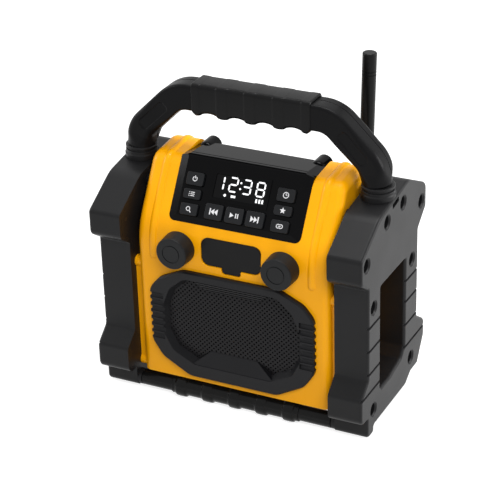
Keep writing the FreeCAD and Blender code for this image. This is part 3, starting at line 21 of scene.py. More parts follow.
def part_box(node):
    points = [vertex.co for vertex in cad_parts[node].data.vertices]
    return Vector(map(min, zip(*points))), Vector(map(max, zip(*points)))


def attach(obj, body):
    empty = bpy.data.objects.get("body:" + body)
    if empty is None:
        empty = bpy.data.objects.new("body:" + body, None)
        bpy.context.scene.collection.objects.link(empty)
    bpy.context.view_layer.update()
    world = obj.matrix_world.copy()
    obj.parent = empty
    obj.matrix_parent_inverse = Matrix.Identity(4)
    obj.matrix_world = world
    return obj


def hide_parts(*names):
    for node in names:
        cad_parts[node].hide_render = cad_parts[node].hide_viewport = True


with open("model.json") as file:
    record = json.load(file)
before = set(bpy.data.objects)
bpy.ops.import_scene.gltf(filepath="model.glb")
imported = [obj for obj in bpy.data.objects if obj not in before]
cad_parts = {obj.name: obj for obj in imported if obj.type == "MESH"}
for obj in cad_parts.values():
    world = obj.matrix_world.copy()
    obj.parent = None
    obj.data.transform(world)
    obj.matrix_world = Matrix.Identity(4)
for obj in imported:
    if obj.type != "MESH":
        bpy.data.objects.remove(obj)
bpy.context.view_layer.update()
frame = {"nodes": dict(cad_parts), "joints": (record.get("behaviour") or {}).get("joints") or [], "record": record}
nodes = frame["nodes"]
mm = 0.001

# %% [markdown]
# ## The camera
#
# The photograph was taken from the right and above with a long lens, so that upright edges
# hardly converge. A camera can be placed by hand until it fits, or solved from edges whose
# directions are known. Here it was solved from the square corners and the mirror symmetry of the
# side frames, which leaves three angles, the point aimed at, the distance and the lens.

# %% Camera
camera_azimuth = math.radians(26.80)
camera_elevation = math.radians(26.90)
camera_roll = math.radians(-1.71)
camera_distance = 1.3405
camera_aim = Vector((-0.0085, 0.0020, 0.1077))
lens_length = 130.98

camera_data = bpy.data.cameras.new("camera")
camera_data.sensor_width = 36.0
camera_data.lens = lens_length
camera_data.clip_start = 0.05
camera_data.clip_end = 20.0
camera = bpy.data.objects.new("camera", camera_data)
bpy.context.scene.collection.objects.link(camera)
bpy.context.scene.camera = camera

forward = Vector((-math.sin(camera_azimuth) * math.cos(camera_elevation),
                  math.cos(camera_azimuth) * math.cos(camera_elevation),
                  -math.sin(camera_elevation)))
level_right = Vector((math.cos(camera_azimuth), math.sin(camera_azimuth), 0.0))
level_up = level_right.cross(forward)
camera_right = level_right * math.cos(camera_roll) + level_up * math.sin(camera_roll)
camera_up = level_up * math.cos(camera_roll) - level_right * math.sin(camera_roll)
turned = Matrix((camera_right, camera_up, -forward)).transposed().to_4x4()
camera.matrix_world = Matrix.Translation(camera_aim - forward * camera_distance) @ turned
print("camera at", [round(v, 4) for v in camera.matrix_world.translation])

# %% [markdown]
# ## The studio
#
# Product photographs of this kind are lit by large soft boxes on a white sweep. A white world
# gives the even part of that light, and a few area lamps give the soft highlights along edges.
# The camera and the reflections see the world at strength 1, which is white, and only the light
# that it throws on the speaker is turned down. The floor does the same with a little light of its
# own, so it stays white and still darkens softly where the speaker takes its light away.
#
# The lamps stand where the photograph shows their work. Upward faces are the brightest, the
# right flank shines towards the back, and the panel, which mirrors what stands in front and to
# the left of it, is dark: no lamp may stand there. A small lamp far out on the left only draws
# fine lines of light on rims and collars.

# %% World, lamps and floor
world_light = 0.36

world = bpy.data.worlds.new("studio")
bpy.context.scene.world = world
world.use_nodes = True
world_nodes = world.node_tree.nodes
world_links = world.node_tree.links
background = world_nodes["Background"]
background.inputs["Color"].default_value = (1.0, 1.0, 1.0, 1.0)

def seen_ray(tree):
    """1 for rays of the camera, of reflections and of transmission, 0 for the rays that light."""
    path = tree.nodes.new("ShaderNodeLightPath")
    total = None
    for kind in ("Is Camera Ray", "Is Glossy Ray", "Is Transmission Ray"):
        if total is None:
            total = path.outputs[kind]
            continue
        add = tree.nodes.new("ShaderNodeMath")
        add.operation = "ADD"
        add.use_clamp = True
        tree.links.new(total, add.inputs[0])
        tree.links.new(path.outputs[kind], add.inputs[1])
        total = add.outputs[0]
    return total


strength = world_nodes.new("ShaderNodeMapRange")
strength.inputs["To Min"].default_value = world_light
strength.inputs["To Max"].default_value = 1.0
world_links.new(seen_ray(world.node_tree), strength.inputs["Value"])
world_links.new(strength.outputs[0], background.inputs["Strength"])


def soft_box(name, place, aim, size, power, mirrored=True):
    """A square area lamp at a place, facing a point; a lamp that isn't mirrored leaves no shine."""
    data = bpy.data.lights.new(name, "AREA")
    data.shape = "RECTANGLE"
    data.size, data.size_y = size
    data.energy = power
    lamp = bpy.data.objects.new(name, data)
    bpy.context.scene.collection.objects.link(lamp)
    lamp.location = place
    lamp.rotation_mode = "QUATERNION"
    lamp.rotation_quaternion = (Vector(aim) - Vector(place)).to_track_quat("-Z", "Y")
    lamp.visible_glossy = mirrored
    return lamp


middle = (0.0, 0.0, 0.11)
soft_box("key_lamp", (0.75, -0.95, 1.15), middle, (0.8, 0.6), 15.0, mirrored=False)
soft_box("side_lamp", (1.20, 0.55, 0.55), middle, (0.7, 0.6), 12.0)
soft_box("top_lamp", (0.00, 0.25, 1.45), middle, (0.7, 0.5), 13.0)
soft_box("rim_lamp", (-1.15, -0.20, 0.72), middle, (0.5, 0.4), 4.0)


def floor_material():
    """White sweep: a pale matt sheet with some light of its own where it is seen."""
    material = bpy.data.materials.new("white_sweep")
    material.use_nodes = True
    tree = material.node_tree
    shader = tree.nodes["Principled BSDF"]
    shader.inputs["Base Color"].default_value = (0.45, 0.45, 0.45, 1.0)
    shader.inputs["Roughness"].default_value = 0.9
    shader.inputs["Specular IOR Level"].default_value = 0.0
    shader.inputs["Emission Color"].default_value = (1.0, 1.0, 1.0, 1.0)
    own_light = tree.nodes.new("ShaderNodeMath")
    own_light.operation = "MULTIPLY"
    own_light.inputs[1].default_value = floor_glow
    tree.links.new(seen_ray(tree), own_light.inputs[0])
    tree.links.new(own_light.outputs[0], shader.inputs["Emission Strength"])
    return material


floor_glow = 0.80
floor_half = 4.0
floor_mesh = bpy.data.meshes.new("studio_floor")
floor_corners = [(-floor_half, -floor_half, 0), (floor_half, -floor_half, 0),
                 (floor_half, floor_half, 0), (-floor_half, floor_half, 0)]
floor_mesh.from_pydata(floor_corners, [], [(0, 1, 2, 3)])
floor_mesh.materials.append(floor_material())
studio_floor = bpy.data.objects.new("studio_floor", floor_mesh)
bpy.context.scene.collection.objects.link(studio_floor)
bpy.context.scene.view_settings.view_transform = "Standard"

# %% [markdown]
# ## Effects that several finishes share
#
# Moulded plastic is never quite even. Its tool leaves a fine spark-eroded grain, and the skin
# shines a little more in some places than in others. Both effects are built once as node groups
# and placed in each material with their own values. They read Object coordinates, which are
# real metres here, so a grain of 0.4 mm is 0.4 mm on every piece.

# %% Node groups
def new_group(name, inputs, outputs):
    """A shader node group with named number or colour sockets."""
    group = bpy.data.node_groups.new(name, "ShaderNodeTree")
    for label, kind, value in inputs:
        socket = group.interface.new_socket(label, in_out="INPUT", socket_type=kind)
        if value is not None:
            socket.default_value = value
    for label, kind in outputs:
        group.interface.new_socket(label, in_out="OUTPUT", socket_type=kind)
    start = group.nodes.new("NodeGroupInput")
    end = group.nodes.new("NodeGroupOutput")
    return group, start, end


def moulded_grain():
    """Pitted skin of a spark-eroded mould: fine noise over rounder cells, put out as a normal."""
    group, start, end = new_group(
        "moulded_grain",
        [("Grain size", "NodeSocketFloat", 0.0005), ("Depth", "NodeSocketFloat", 0.00002)],
        [("Normal", "NodeSocketVector"), ("Pits", "NodeSocketFloat")])
    place = group.nodes.new("ShaderNodeTexCoord")
    pitch = group.nodes.new("ShaderNodeMath")
    pitch.operation = "DIVIDE"
    pitch.inputs[0].default_value = 1.0
    group.links.new(start.outputs["Grain size"], pitch.inputs[1])
    noise = group.nodes.new("ShaderNodeTexNoise")
    noise.inputs["Detail"].default_value = 2.0
    cells = group.nodes.new("ShaderNodeTexVoronoi")
    for texture in (noise, cells):
        group.links.new(place.outputs["Object"], texture.inputs["Vector"])
        group.links.new(pitch.outputs[0], texture.inputs["Scale"])
    height = group.nodes.new("ShaderNodeMath")
    height.operation = "MULTIPLY_ADD"
    height.inputs[1].default_value = 0.6
    group.links.new(cells.outputs["Distance"], height.inputs[0])
    group.links.new(noise.outputs["Fac"], height.inputs[2])
    bump = group.nodes.new("ShaderNodeBump")
    bump.inputs["Strength"].default_value = 1.0
    group.links.new(start.outputs["Depth"], bump.inputs["Distance"])
    group.links.new(height.outputs[0], bump.inputs["Height"])
    group.links.new(bump.outputs["Normal"], end.inputs["Normal"])
    group.links.new(height.outputs[0], end.inputs["Pits"])
    return group


def uneven_skin():
    """Slow drift of tone and shine over a moulding, from one soft noise."""
    group, start, end = new_group(
        "uneven_skin",
        [("Colour", "NodeSocketColor", (0.5, 0.5, 0.5, 1.0)),
         ("Drifted colour", "NodeSocketColor", (0.4, 0.4, 0.4, 1.0)),
         ("Roughness", "NodeSocketFloat", 0.5), ("Roughness spread", "NodeSocketFloat", 0.1),
         ("Patch size", "NodeSocketFloat", 0.03)],
        [("Colour", "NodeSocketColor"), ("Roughness", "NodeSocketFloat")])
    place = group.nodes.new("ShaderNodeTexCoord")
    pitch = group.nodes.new("ShaderNodeMath")
    pitch.operation = "DIVIDE"
    pitch.inputs[0].default_value = 1.0
    group.links.new(start.outputs["Patch size"], pitch.inputs[1])
    noise = group.nodes.new("ShaderNodeTexNoise")
    noise.inputs["Detail"].default_value = 3.0
    group.links.new(place.outputs["Object"], noise.inputs["Vector"])
    group.links.new(pitch.outputs[0], noise.inputs["Scale"])
    mix = group.nodes.new("ShaderNodeMix")
    mix.data_type = "RGBA"
    group.links.new(noise.outputs["Fac"], mix.inputs["Factor"])
    group.links.new(start.outputs["Colour"], mix.inputs["A"])
    group.links.new(start.outputs["Drifted colour"], mix.inputs["B"])
    centred = group.nodes.new("ShaderNodeMath")
    centred.operation = "SUBTRACT"
    centred.inputs[1].default_value = 0.5
    group.links.new(noise.outputs["Fac"], centred.inputs[0])
    spread = group.nodes.new("ShaderNodeMath")
    spread.operation = "MULTIPLY_ADD"
    group.links.new(centred.outputs[0], spread.inputs[0])
    group.links.new(start.outputs["Roughness spread"], spread.inputs[1])
    group.links.new(start.outputs["Roughness"], spread.inputs[2])
    group.links.new(mix.outputs["Result"], end.inputs["Colour"])
    group.links.new(spread.outputs[0], end.inputs["Roughness"])
    return group


grain_group = moulded_grain()
skin_group = uneven_skin()
print("groups:", [group.name for group in (grain_group, skin_group)])

# %% [markdown]
# ## Finishes
#
# Each finish is one Principled shader with the two groups in front of it. What changes from one
# to the next is the colour, how far the tone drifts, how rough the skin is and how deep its grain
# lies. Yellow ABS has a satin skin with a clear highlight, the cage is a duller black, the
# control panel is polished, and the grips are soft rubber.

# %% Finishes
def linear(red, green, blue):
    """Linear colour of a screen colour given from 0 to 255."""
    share = np.array([red, green, blue]) / 255
    value = np.where(share <= 0.04045, share / 12.92, ((share + 0.055) / 1.055) ** 2.4)
    return (*value.tolist(), 1.0)


def moulded(name, colour, drifted, roughness, spread=0.1, patch=0.03, grain=0.0005, depth=0.00002,
            coat=0.0, metallic=0.0, specular=0.5):
    """A finish of moulded plastic, rubber or painted metal with grain and drift.

    The colours are screen colours from 0 to 255. Patch, grain and depth are in metres.
    """
    colour, drifted = linear(*colour), linear(*drifted)
    material = bpy.data.materials.new(name)
    material.use_nodes = True
    tree = material.node_tree
    shader = tree.nodes["Principled BSDF"]
    skin = tree.nodes.new("ShaderNodeGroup")
    skin.node_tree = skin_group
    skin.inputs["Colour"].default_value = colour
    skin.inputs["Drifted colour"].default_value = drifted
    skin.inputs["Roughness"].default_value = roughness
    skin.inputs["Roughness spread"].default_value = spread
    skin.inputs["Patch size"].default_value = patch
    texture = tree.nodes.new("ShaderNodeGroup")
    texture.node_tree = grain_group
    texture.inputs["Grain size"].default_value = grain
    texture.inputs["Depth"].default_value = depth
    tree.links.new(skin.outputs["Colour"], shader.inputs["Base Color"])
    tree.links.new(skin.outputs["Roughness"], shader.inputs["Roughness"])
    tree.links.new(texture.outputs["Normal"], shader.inputs["Normal"])
    shader.inputs["Coat Weight"].default_value = coat
    shader.inputs["Coat Roughness"].default_value = 0.08
    shader.inputs["Metallic"].default_value = metallic
    shader.inputs["Specular IOR Level"].default_value = specular
    material.diffuse_color = colour
    return material


def lit_segments(name, colour, glow):
    """Milky plastic of a lit display segment."""
    material = bpy.data.materials.new(name)
    material.use_nodes = True
    tree = material.node_tree
    shader = tree.nodes["Principled BSDF"]
    place = tree.nodes.new("ShaderNodeTexCoord")
    noise = tree.nodes.new("ShaderNodeTexNoise")
    noise.inputs["Scale"].default_value = 900.0
    tree.links.new(place.outputs["Object"], noise.inputs["Vector"])
    tone = tree.nodes.new("ShaderNodeMapRange")
    tone.inputs["To Min"].default_value = 0.9
    tone.inputs["To Max"].default_value = 1.0
    tree.links.new(noise.outputs["Fac"], tone.inputs["Value"])
    tint = tree.nodes.new("ShaderNodeMix")
    tint.data_type = "RGBA"
    tint.inputs["A"].default_value = (0.0, 0.0, 0.0, 1.0)
    tint.inputs["B"].default_value = colour
    tree.links.new(tone.outputs[0], tint.inputs["Factor"])
    tree.links.new(tint.outputs["Result"], shader.inputs["Emission Color"])
    shader.inputs["Emission Strength"].default_value = glow
    shader.inputs["Base Color"].default_value = (0.5, 0.5, 0.5, 1.0)
    shader.inputs["Roughness"].default_value = 0.4
    return material


yellow = moulded("yellow_shell", (255, 177, 6), (252, 170, 3), 0.34, 0.10, 0.05, 0.0006, 0.000012,
                 coat=0.04, specular=0.2)
cage_black = moulded("cage_black", (24, 24, 25), (19, 19, 20), 0.42, 0.12, 0.04, 0.0006, 0.00003,
                     specular=0.17)
handle_black = moulded("handle_black", (17, 17, 18), (13, 13, 14), 0.34, 0.10, 0.04, 0.0006,
                       0.00002, specular=0.08)
panel_gloss = moulded("panel_gloss", (7, 7, 8), (5, 5, 6), 0.12, 0.05, 0.05, 0.001, 0.000002,
                      specular=0.07)
key_black = moulded("key_black", (22, 23, 25), (18, 19, 21), 0.38, 0.08, 0.02, 0.0005, 0.00001,
                    specular=0.2)
rubber = moulded("soft_rubber", (17, 17, 17), (13, 13, 14), 0.34, 0.12, 0.02, 0.0007, 0.00003,
                 specular=0.12)
bar_rubber = moulded("bar_rubber", (15, 15, 15), (12, 12, 12), 0.24, 0.10, 0.02, 0.0007, 0.000015,
                     specular=0.14)
knob_black = moulded("knob_black", (25, 26, 27), (21, 22, 23), 0.48, 0.08, 0.02, 0.0005, 0.00003,
                     specular=0.18)
speaker_black = moulded("speaker_black", (21, 21, 23), (16, 16, 18), 0.44, 0.10, 0.03, 0.0006,
                        0.00003, specular=0.18)
grille_paint = moulded("grille_paint", (22, 21, 23), (17, 16, 18), 0.40, 0.10, 0.01, 0.0004,
                       0.00002, specular=0.15)
window_black = moulded("window_black", (4, 4, 5), (3, 3, 4), 0.06, 0.03, 0.05, 0.001, 0.000001,
                       specular=0.12)
inner_black = moulded("inner_black", (16, 16, 17), (12, 12, 13), 0.8, 0.1, 0.02, 0.0005, 0.00002)
board_green = moulded("board_green", (18, 84, 48), (14, 70, 40), 0.45, 0.1, 0.01, 0.0008, 0.00002)
socket_metal = moulded("socket_metal", (205, 203, 198), (190, 188, 184), 0.28, 0.12, 0.01, 0.0006,
                       0.00001, metallic=1.0)
screw_metal = moulded("screw_metal", (70, 70, 72), (52, 52, 54), 0.38, 0.12, 0.004, 0.0005,
                      0.00002, metallic=0.9)
magnet_iron = moulded("magnet_iron", (60, 60, 62), (46, 46, 48), 0.7, 0.1, 0.01, 0.0008, 0.00004,
                      metallic=0.4)
cell_blue = moulded("cell_blue", (30, 74, 140), (26, 66, 126), 0.25, 0.05, 0.02, 0.001, 0.000002)
print_white = moulded("print_white", (226, 226, 228), (214, 214, 216), 0.5, 0.1, 0.003, 0.0003,
                      0.00001)
digit_light = lit_segments("digit_light", (0.95, 0.97, 1.0, 1.0), 0.9)

finish_of_slot = {
    "yellow_shell": yellow, "satin_black": cage_black, "gloss_black": panel_gloss,
    "button_black": key_black, "soft_rubber": rubber, "smoked_window": window_black,
    "grille_metal": grille_paint, "inner_black": inner_black, "circuit_board": board_green,
    "plated_metal": socket_metal, "screw_steel": screw_metal, "magnet": magnet_iron,
    "cell_wrap": cell_blue,
}
# The high spacers wear the cage's black instead of the yellow of their slot. This is partly a guess at their own
# colour and partly painted shade for the dark gap between frame and housing.
finish_of_node = {
    "speaker_frame": speaker_black, "volume_knob": knob_black, "tuning_knob": knob_black,
    "foot_bar": bar_rubber, "high_spacers": cage_black,
}


def dress(node, material):
    """Gives one CAD piece one finish over its whole surface."""
    slots = nodes[node].data.materials
    slots.clear()
    slots.append(material)


for part in frame["record"]["subparts"]:
    dress(part["node"], finish_of_node.get(part["node"], finish_of_slot[part["material_slot"]]))

# %% [markdown]
# ## A frame for the control panel
#
# The panel leans back, so it is easier to draw on it in its own flat coordinates: u to the right,
# v up the slope and h out of it. The direction in which the buttons are pressed is the
# panel's normal, and the CAD joints state it, so nothing about the slope is guessed here.

# %% Panel coordinates
press = next(joint for joint in frame["joints"] if joint["name"] == "play_press")
panel_out = -np.array(press["axis"], float)
panel_right = np.array([1.0, 0.0, 0.0])
panel_up = np.cross(panel_out, panel_right)


def corners_of(node):
    """All vertices of a CAD piece as one array."""
    mesh = nodes[node].data
    flat = np.zeros(len(mesh.vertices) * 3, np.float32)
    mesh.vertices.foreach_get("co", flat)
    return flat.reshape(-1, 3).astype(float)


def panel_extent(node):
    """Lowest and highest u, v and h of a piece on the panel, measured from the row's origin."""
    spots = corners_of(node) @ np.stack([panel_right, panel_up, panel_out], 1)
    return spots.min(0), spots.max(0)


def on_panel(flat, height):
    """Places points (u, v) of the panel's plane at a height h above the row's origin."""
    flat = np.asarray(flat, float)
    height = np.broadcast_to(height, flat.shape[:-1])[..., None]
    return flat[..., :1] * panel_right + flat[..., 1:2] * panel_up + height * panel_out


window_low, window_high = panel_extent("display_window")
print("panel normal:", panel_out.round(4), "window:", (window_high - window_low).round(4))

# %% [markdown]
# ## Turning arrays into meshes
#
# Every new piece below is computed as arrays of points. A closed flat plate is an outline drawn
# twice, low and high, with a wall between the two, and a sign is a handful of such plates in one
# mesh. Numpy gives the points of all outlines at once, and from_pydata puts them into Blender.

# %% Mesh helpers
def new_piece(name, points, faces, material, body, smooth=False):
    """A mesh object from arrays, with one finish, that moves with a CAD body."""
    mesh = bpy.data.meshes.new(name)
    corner_lists = [list(map(int, face)) for face in faces]
    mesh.from_pydata(np.asarray(points, float).tolist(), [], corner_lists)
    mesh.validate()
    mesh.materials.append(material)
    if smooth:
        mesh.polygons.foreach_set("use_smooth", np.ones(len(mesh.polygons), bool))
    piece = bpy.data.objects.new(name, mesh)
    bpy.context.scene.collection.objects.link(piece)
    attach(piece, body)
    return piece


def plate(outline, low, high, place):
    """Closed prism: the outline at two heights, a cap on each and a quad wall between them.

    The outline runs anticlockwise seen from outside, and place(points, height) sets it in space.
    """
    count = len(outline)
    points = np.concatenate([place(outline, low), place(outline, high)])
    ring = np.arange(count)
    after = (ring + 1) % count
    walls = np.stack([ring, after, after + count, ring + count], 1)
    faces = [ring[::-1], ring + count, *walls]
    return points, faces


def joined(parts):
    """Several (points, faces) pairs as one, with the face numbers shifted."""
    points = []
    faces = []
    start = 0
    for part_points, part_faces in parts:
        points.append(part_points)
        faces += [np.asarray(face) + start for face in part_faces]
        start += len(part_points)
    return np.concatenate(points), faces


def bar(u0, v0, u1, v1, width):
    """Outline of a straight stroke from one point to another: four corners."""
    start = np.array([u0, v0])
    end = np.array([u1, v1])
    along = (end - start) / np.linalg.norm(end - start)
    side = np.array([-along[1], along[0]]) * width / 2
    return np.array([start - side, end - side, end + side, start + side])


def arc(u, v, radius, width, first=0.0, last=360.0, count=24):
    """Outline of a bent stroke: an outer arc forward and an inner arc back."""
    angle = np.radians(np.linspace(first, last, count))
    rim = np.stack([np.cos(angle), np.sin(angle)], 1)
    outer = rim * (radius + width / 2)
    inner = rim[::-1] * (radius - width / 2)
    return np.concatenate([outer, inner]) + np.array([u, v])


def disc(u, v, radius, count=16):
    """Outline of a filled circle."""
    angle = np.linspace(0, 2 * np.pi, count, endpoint=False)
    return np.stack([u + radius * np.cos(angle), v + radius * np.sin(angle)], 1)


def triangle(u, v, width, height, way):
    """Outline of a triangle that points to the right (way 1) or to the left (way -1)."""
    points = np.array([(-width / 2, -height / 2), (width / 2, 0.0), (-width / 2, height / 2)])
    if way < 0:
        points = (points * np.array([-1, 1]))[::-1]
    return points + np.array([u, v])


# %% [markdown]
# ## Signs on the buttons
#
# The real buttons carry small white prints. Ink is a film, so each sign is a plate of strokes
# one twentieth of a millimetre high that sits on the button's face and travels with it. The signs
# are the plain ones used on any player: a broken ring for power, triangles for play and skip,
# a clock face, a star, two linked rings.

# %% Button signs
ink_height = 0.05 * mm
stroke = 0.55 * mm


def power_sign():
    return [arc(0, 0, 1.6 * mm, stroke, 120, 420), bar(0, 0.2 * mm, 0, 2.3 * mm, stroke)]


def mode_sign():
    rows = [-1.3 * mm, 0.0, 1.3 * mm]
    lines = [bar(-1.0 * mm, v, 2.2 * mm, v, stroke) for v in rows]
    return lines + [disc(-2.0 * mm, v, 0.36 * mm) for v in rows]


def scan_sign():
    return [arc(-0.5 * mm, 0.4 * mm, 1.4 * mm, stroke, 0, 360),
            bar(0.5 * mm, -0.6 * mm, 1.9 * mm, -2.0 * mm, stroke * 1.2)]


def time_sign():
    return [arc(0, 0, 2.0 * mm, stroke, 0, 360), bar(0, 0, 0, 1.4 * mm, stroke),
            bar(0, 0, 1.0 * mm, 0, stroke)]


def preset_sign():
    turn = np.radians(90 + np.arange(10) * 36)
    reach = np.where(np.arange(10) % 2 == 0, 2.4, 1.05) * mm
    return [np.stack([reach * np.cos(turn), reach * np.sin(turn)], 1)]


def pair_sign():
    return [arc(-1.0 * mm, 0, 1.35 * mm, stroke, 40, 320),
            arc(1.0 * mm, 0, 1.35 * mm, stroke, -140, 140),
            bar(-1.0 * mm, 0, 1.0 * mm, 0, stroke)]


def skip_sign(way):
    signs = [triangle(way * step * mm, 0, 2.7 * mm, 4.4 * mm, way) for step in (-1.9, 0.8)]
    stop = way * 2.7 * mm
    return signs + [bar(stop, -2.3 * mm, stop, 2.3 * mm, 0.9 * mm)]


def play_sign():
    bars = [bar(u * mm, -1.7 * mm, u * mm, 1.7 * mm, 0.8 * mm) for u in (1.4, 3.0)]
    return [triangle(-1.7 * mm, 0, 3.0 * mm, 3.6 * mm, 1)] + bars


signs = {
    "power_button": power_sign(), "mode_button": mode_sign(), "scan_button": scan_sign(),
    "time_button": time_sign(), "preset_button": preset_sign(), "pair_button": pair_sign(),
    "previous_button": skip_sign(-1), "play_button": play_sign(), "next_button": skip_sign(1),
}
for node, outlines in signs.items():
    low, high = panel_extent(node)
    centre = (low + high)[:2] / 2
    face = high[2]
    parts = [plate(outline + centre, face, face + ink_height, on_panel) for outline in outlines]
    sign = new_piece(node.replace("button", "sign"), *joined(parts), print_white, node)
print("signs:", len(signs))

# %% [markdown]
# ## The lit clock
#
# A clock display has seven slim segments for each digit. Each segment is a flat six-sided plate,
# and a small table says which of the seven are lit for each number. The plates lie on the
# window's face, one twentieth of a millimetre high, and glow a little.

# %% Clock digits
digit_width = 5.9 * mm
digit_height = 9.9 * mm
digit_pitch = 10.65 * mm
segment_width = 1.15 * mm
segment_gap = 0.32 * mm
first_digit_u = -16.75 * mm
digit_middle = 0.62
digit_lift = 0.6 * mm
colon_u, colon_radius = -0.5 * mm, 0.75 * mm
mark_lift, mark_half_height, mark_width = 2.7 * mm, 1.4 * mm, 1.3 * mm
lit = {"1": "bc", "2": "abged", "3": "abgcd", "8": "abcdefg"}


def segment(u0, v0, u1, v1):
    """Six-sided segment between two corners of a digit, pointed at both ends."""
    start = np.array([u0, v0])
    end = np.array([u1, v1])
    along = (end - start) / np.linalg.norm(end - start)
    side = np.array([-along[1], along[0]]) * segment_width / 2
    tip = along * segment_width / 2
    start = start + along * segment_gap
    end = end - along * segment_gap
    return np.array([start, start + tip - side, end - tip - side,
                     end, end - tip + side, start + tip + side])


def digit(number, u, v):
    """Lit segments of one number centred at (u, v), named a to g from the top clockwise."""
    left, right = u - digit_width / 2, u + digit_width / 2
    low, high = v - digit_height / 2, v + digit_height / 2
    ends = {"a": (left, high, right, high), "b": (right, v, right, high),
            "c": (right, low, right, v), "d": (left, low, right, low),
            "e": (left, low, left, v), "f": (left, v, left, high), "g": (left, v, right, v)}
    return [segment(*ends[name]) for name in lit[number]]


window_face = window_high[2]
window_foot = window_low[1]
window_size = window_high[1] - window_low[1]
digit_v = window_foot + digit_middle * window_size + digit_lift
outlines = []
for index, number in enumerate("1238"):
    outlines += digit(number, first_digit_u + index * digit_pitch, digit_v)
outlines += [disc(colon_u, digit_v + offset * mm, colon_radius, 12) for offset in (-2.1, 2.2)]
mark_v = window_foot + mark_lift
mark_low, mark_high = mark_v - mark_half_height, mark_v + mark_half_height
outlines += [bar(u * mm, mark_low, u * mm, mark_high, mark_width) for u in (13.6, 16.0, 18.3)]
outlines += [disc(-11.2 * mm, mark_v, 1.0 * mm, 12),
             bar(-6.4 * mm, mark_v, -2.9 * mm, mark_v, 1.6 * mm)]
parts = [plate(outline, window_face, window_face + ink_height, on_panel) for outline in outlines]
clock = new_piece("clock_digits", *joined(parts), digit_light, "cabinet")
print("lit plates:", len(parts))

# %% [markdown]
# ## The punched grille
#
# The grille is a steel sheet with round holes on a diagonal grid. It could be faked with a
# pattern in the material, but real holes catch light on their rims and show what lies behind
# them. One cell is a square stood on its corner with a hole in it: the boundary of the square
# and the circle have the same number of points, and quads join them. The cell is copied to every
# grid place inside the outline, all in one array, and Solidify gives the sheet its thickness.
#
# A thin black sheet lies behind the grille as painted shade. It stands for the dark inside of
# the speaker, so that nothing of the housing is seen through the holes.

# %% Grille
hole_pitch = 2.6 * mm
hole_radius = 0.72 * mm
sheet_thickness = 0.8 * mm
sheet_crown = 0.9 * mm
rim_cover = 1.85 * mm
rim_reach = 0.9 * mm
crown_reach = 12 * mm
# Inset, thickness and gap of the black sheet of painted shade behind the grille.
shade_sheet_inset, shade_sheet_thickness, shade_sheet_gap = 0.4 * mm, 0.2 * mm, 0.05 * mm
cell_sides = 12


def outline_planes(points):
    """Unit normals and offsets of the straight edges of a convex outline, from its corners."""
    centre = points.mean(0)
    order = np.argsort(np.arctan2(*(points - centre).T[::-1]))
    ring = points[order]
    edge = np.roll(ring, -1, 0) - ring
    length = np.linalg.norm(edge, axis=1)
    edge, ring = edge[length > 0.05 * mm], ring[length > 0.05 * mm]
    edge = edge / np.linalg.norm(edge, axis=1)[:, None]
    normal = np.stack([edge[:, 1], -edge[:, 0]], 1)
    return normal, (normal * ring).sum(1)


def grille_sheet():
    """Points (x, z) and quads of the sheet: square cells with a round hole, on a diagonal grid.

    A boundary point of the square lies at t along its sides and the hole's point at the same
    angle. Points beyond the rim are moved back to it along the rim's normal.
    """
    low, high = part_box("speaker_grille")
    rim = np.unique(corners_of("speaker_grille")[:, [0, 2]].round(6), axis=0)
    normal, offset = outline_planes(rim)
    centre = np.array([(low.x + high.x) / 2, (low.z + high.z) / 2])
    steps = np.arange(-40, 41)
    i, j = np.meshgrid(steps, steps)
    diagonal = hole_pitch / math.sqrt(2)
    spots = np.stack([(i + j).ravel() * diagonal, (j - i).ravel() * diagonal], 1) + centre
    depth = (spots @ normal.T - offset).max(1)
    spots = spots[depth < -rim_cover + rim_reach]
    angle = np.arange(cell_sides) * 2 * np.pi / cell_sides
    circle = np.stack([np.cos(angle), np.sin(angle)], 1)
    square = circle / np.abs(circle @ np.array([[1, 1], [1, -1]])).max(1)[:, None]
    square = square * hole_pitch / math.sqrt(2)
    cell = np.concatenate([square, circle * hole_radius])
    points = (spots[:, None] + cell).reshape(-1, 2)
    beyond = points @ normal.T - offset
    worst = beyond.argmax(1)
    reach = np.clip(beyond[np.arange(len(points)), worst], 0, None)
    points = points - normal[worst] * reach[:, None]
    ring = np.arange(cell_sides)
    after = (ring + 1) % cell_sides
    quads = np.stack([ring, after, after + cell_sides, ring + cell_sides], 1)
    shift = np.arange(len(spots)) * 2 * cell_sides
    faces = (quads[None] + shift[:, None, None]).reshape(-1, 4)
    inside = np.clip(-(points @ normal.T - offset).max(1) / crown_reach, 0, 1)
    front = low.y + 0.05 * mm - sheet_crown * inside * inside * (3 - 2 * inside)
    return np.stack([points[:, 0], front, points[:, 1]], 1), faces, len(spots)


def facing_front(outline, depth):
    """Places points (x, z) of an upright outline at a depth along -Y."""
    return np.stack([outline[:, 0], np.full(len(outline), -depth), outline[:, 1]], 1)


def rim_outline(inset):
    """The grille's outline drawn in by an inset: each corner is where two moved edges meet."""
    rim = np.unique(corners_of("speaker_grille")[:, [0, 2]].round(6), axis=0)
    normal, offset = outline_planes(rim)
    following = np.roll(normal, -1, 0)
    sides = np.stack([normal, following], 1)
    reach = np.stack([offset, np.roll(offset, -1)], 1) - inset
    return np.linalg.solve(sides, reach[..., None])[..., 0]


points, faces, hole_count = grille_sheet()
grille = new_piece("punched_grille", points, faces, grille_paint, "cabinet")
print("holes:", hole_count)

work = bmesh.new()
work.from_mesh(grille.data)
bmesh.ops.remove_doubles(work, verts=work.verts, dist=0.02 * mm)
bmesh.ops.recalc_face_normals(work, faces=work.faces)
work.to_mesh(grille.data)
work.free()
thick = grille.modifiers.new("thickness", "SOLIDIFY")
thick.thickness = sheet_thickness
thick.offset = -1.0
# The black sheet behind the grille is painted shade: it darkens everything seen through the holes.
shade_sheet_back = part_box("speaker_grille")[1].y - shade_sheet_gap
shade_sheet_parts = plate(rim_outline(shade_sheet_inset), -shade_sheet_back, -shade_sheet_back + shade_sheet_thickness,
                    facing_front)
shade_sheet = new_piece("painted_shade_sheet", *shade_sheet_parts, inner_black, "cabinet")
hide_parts("speaker_grille")

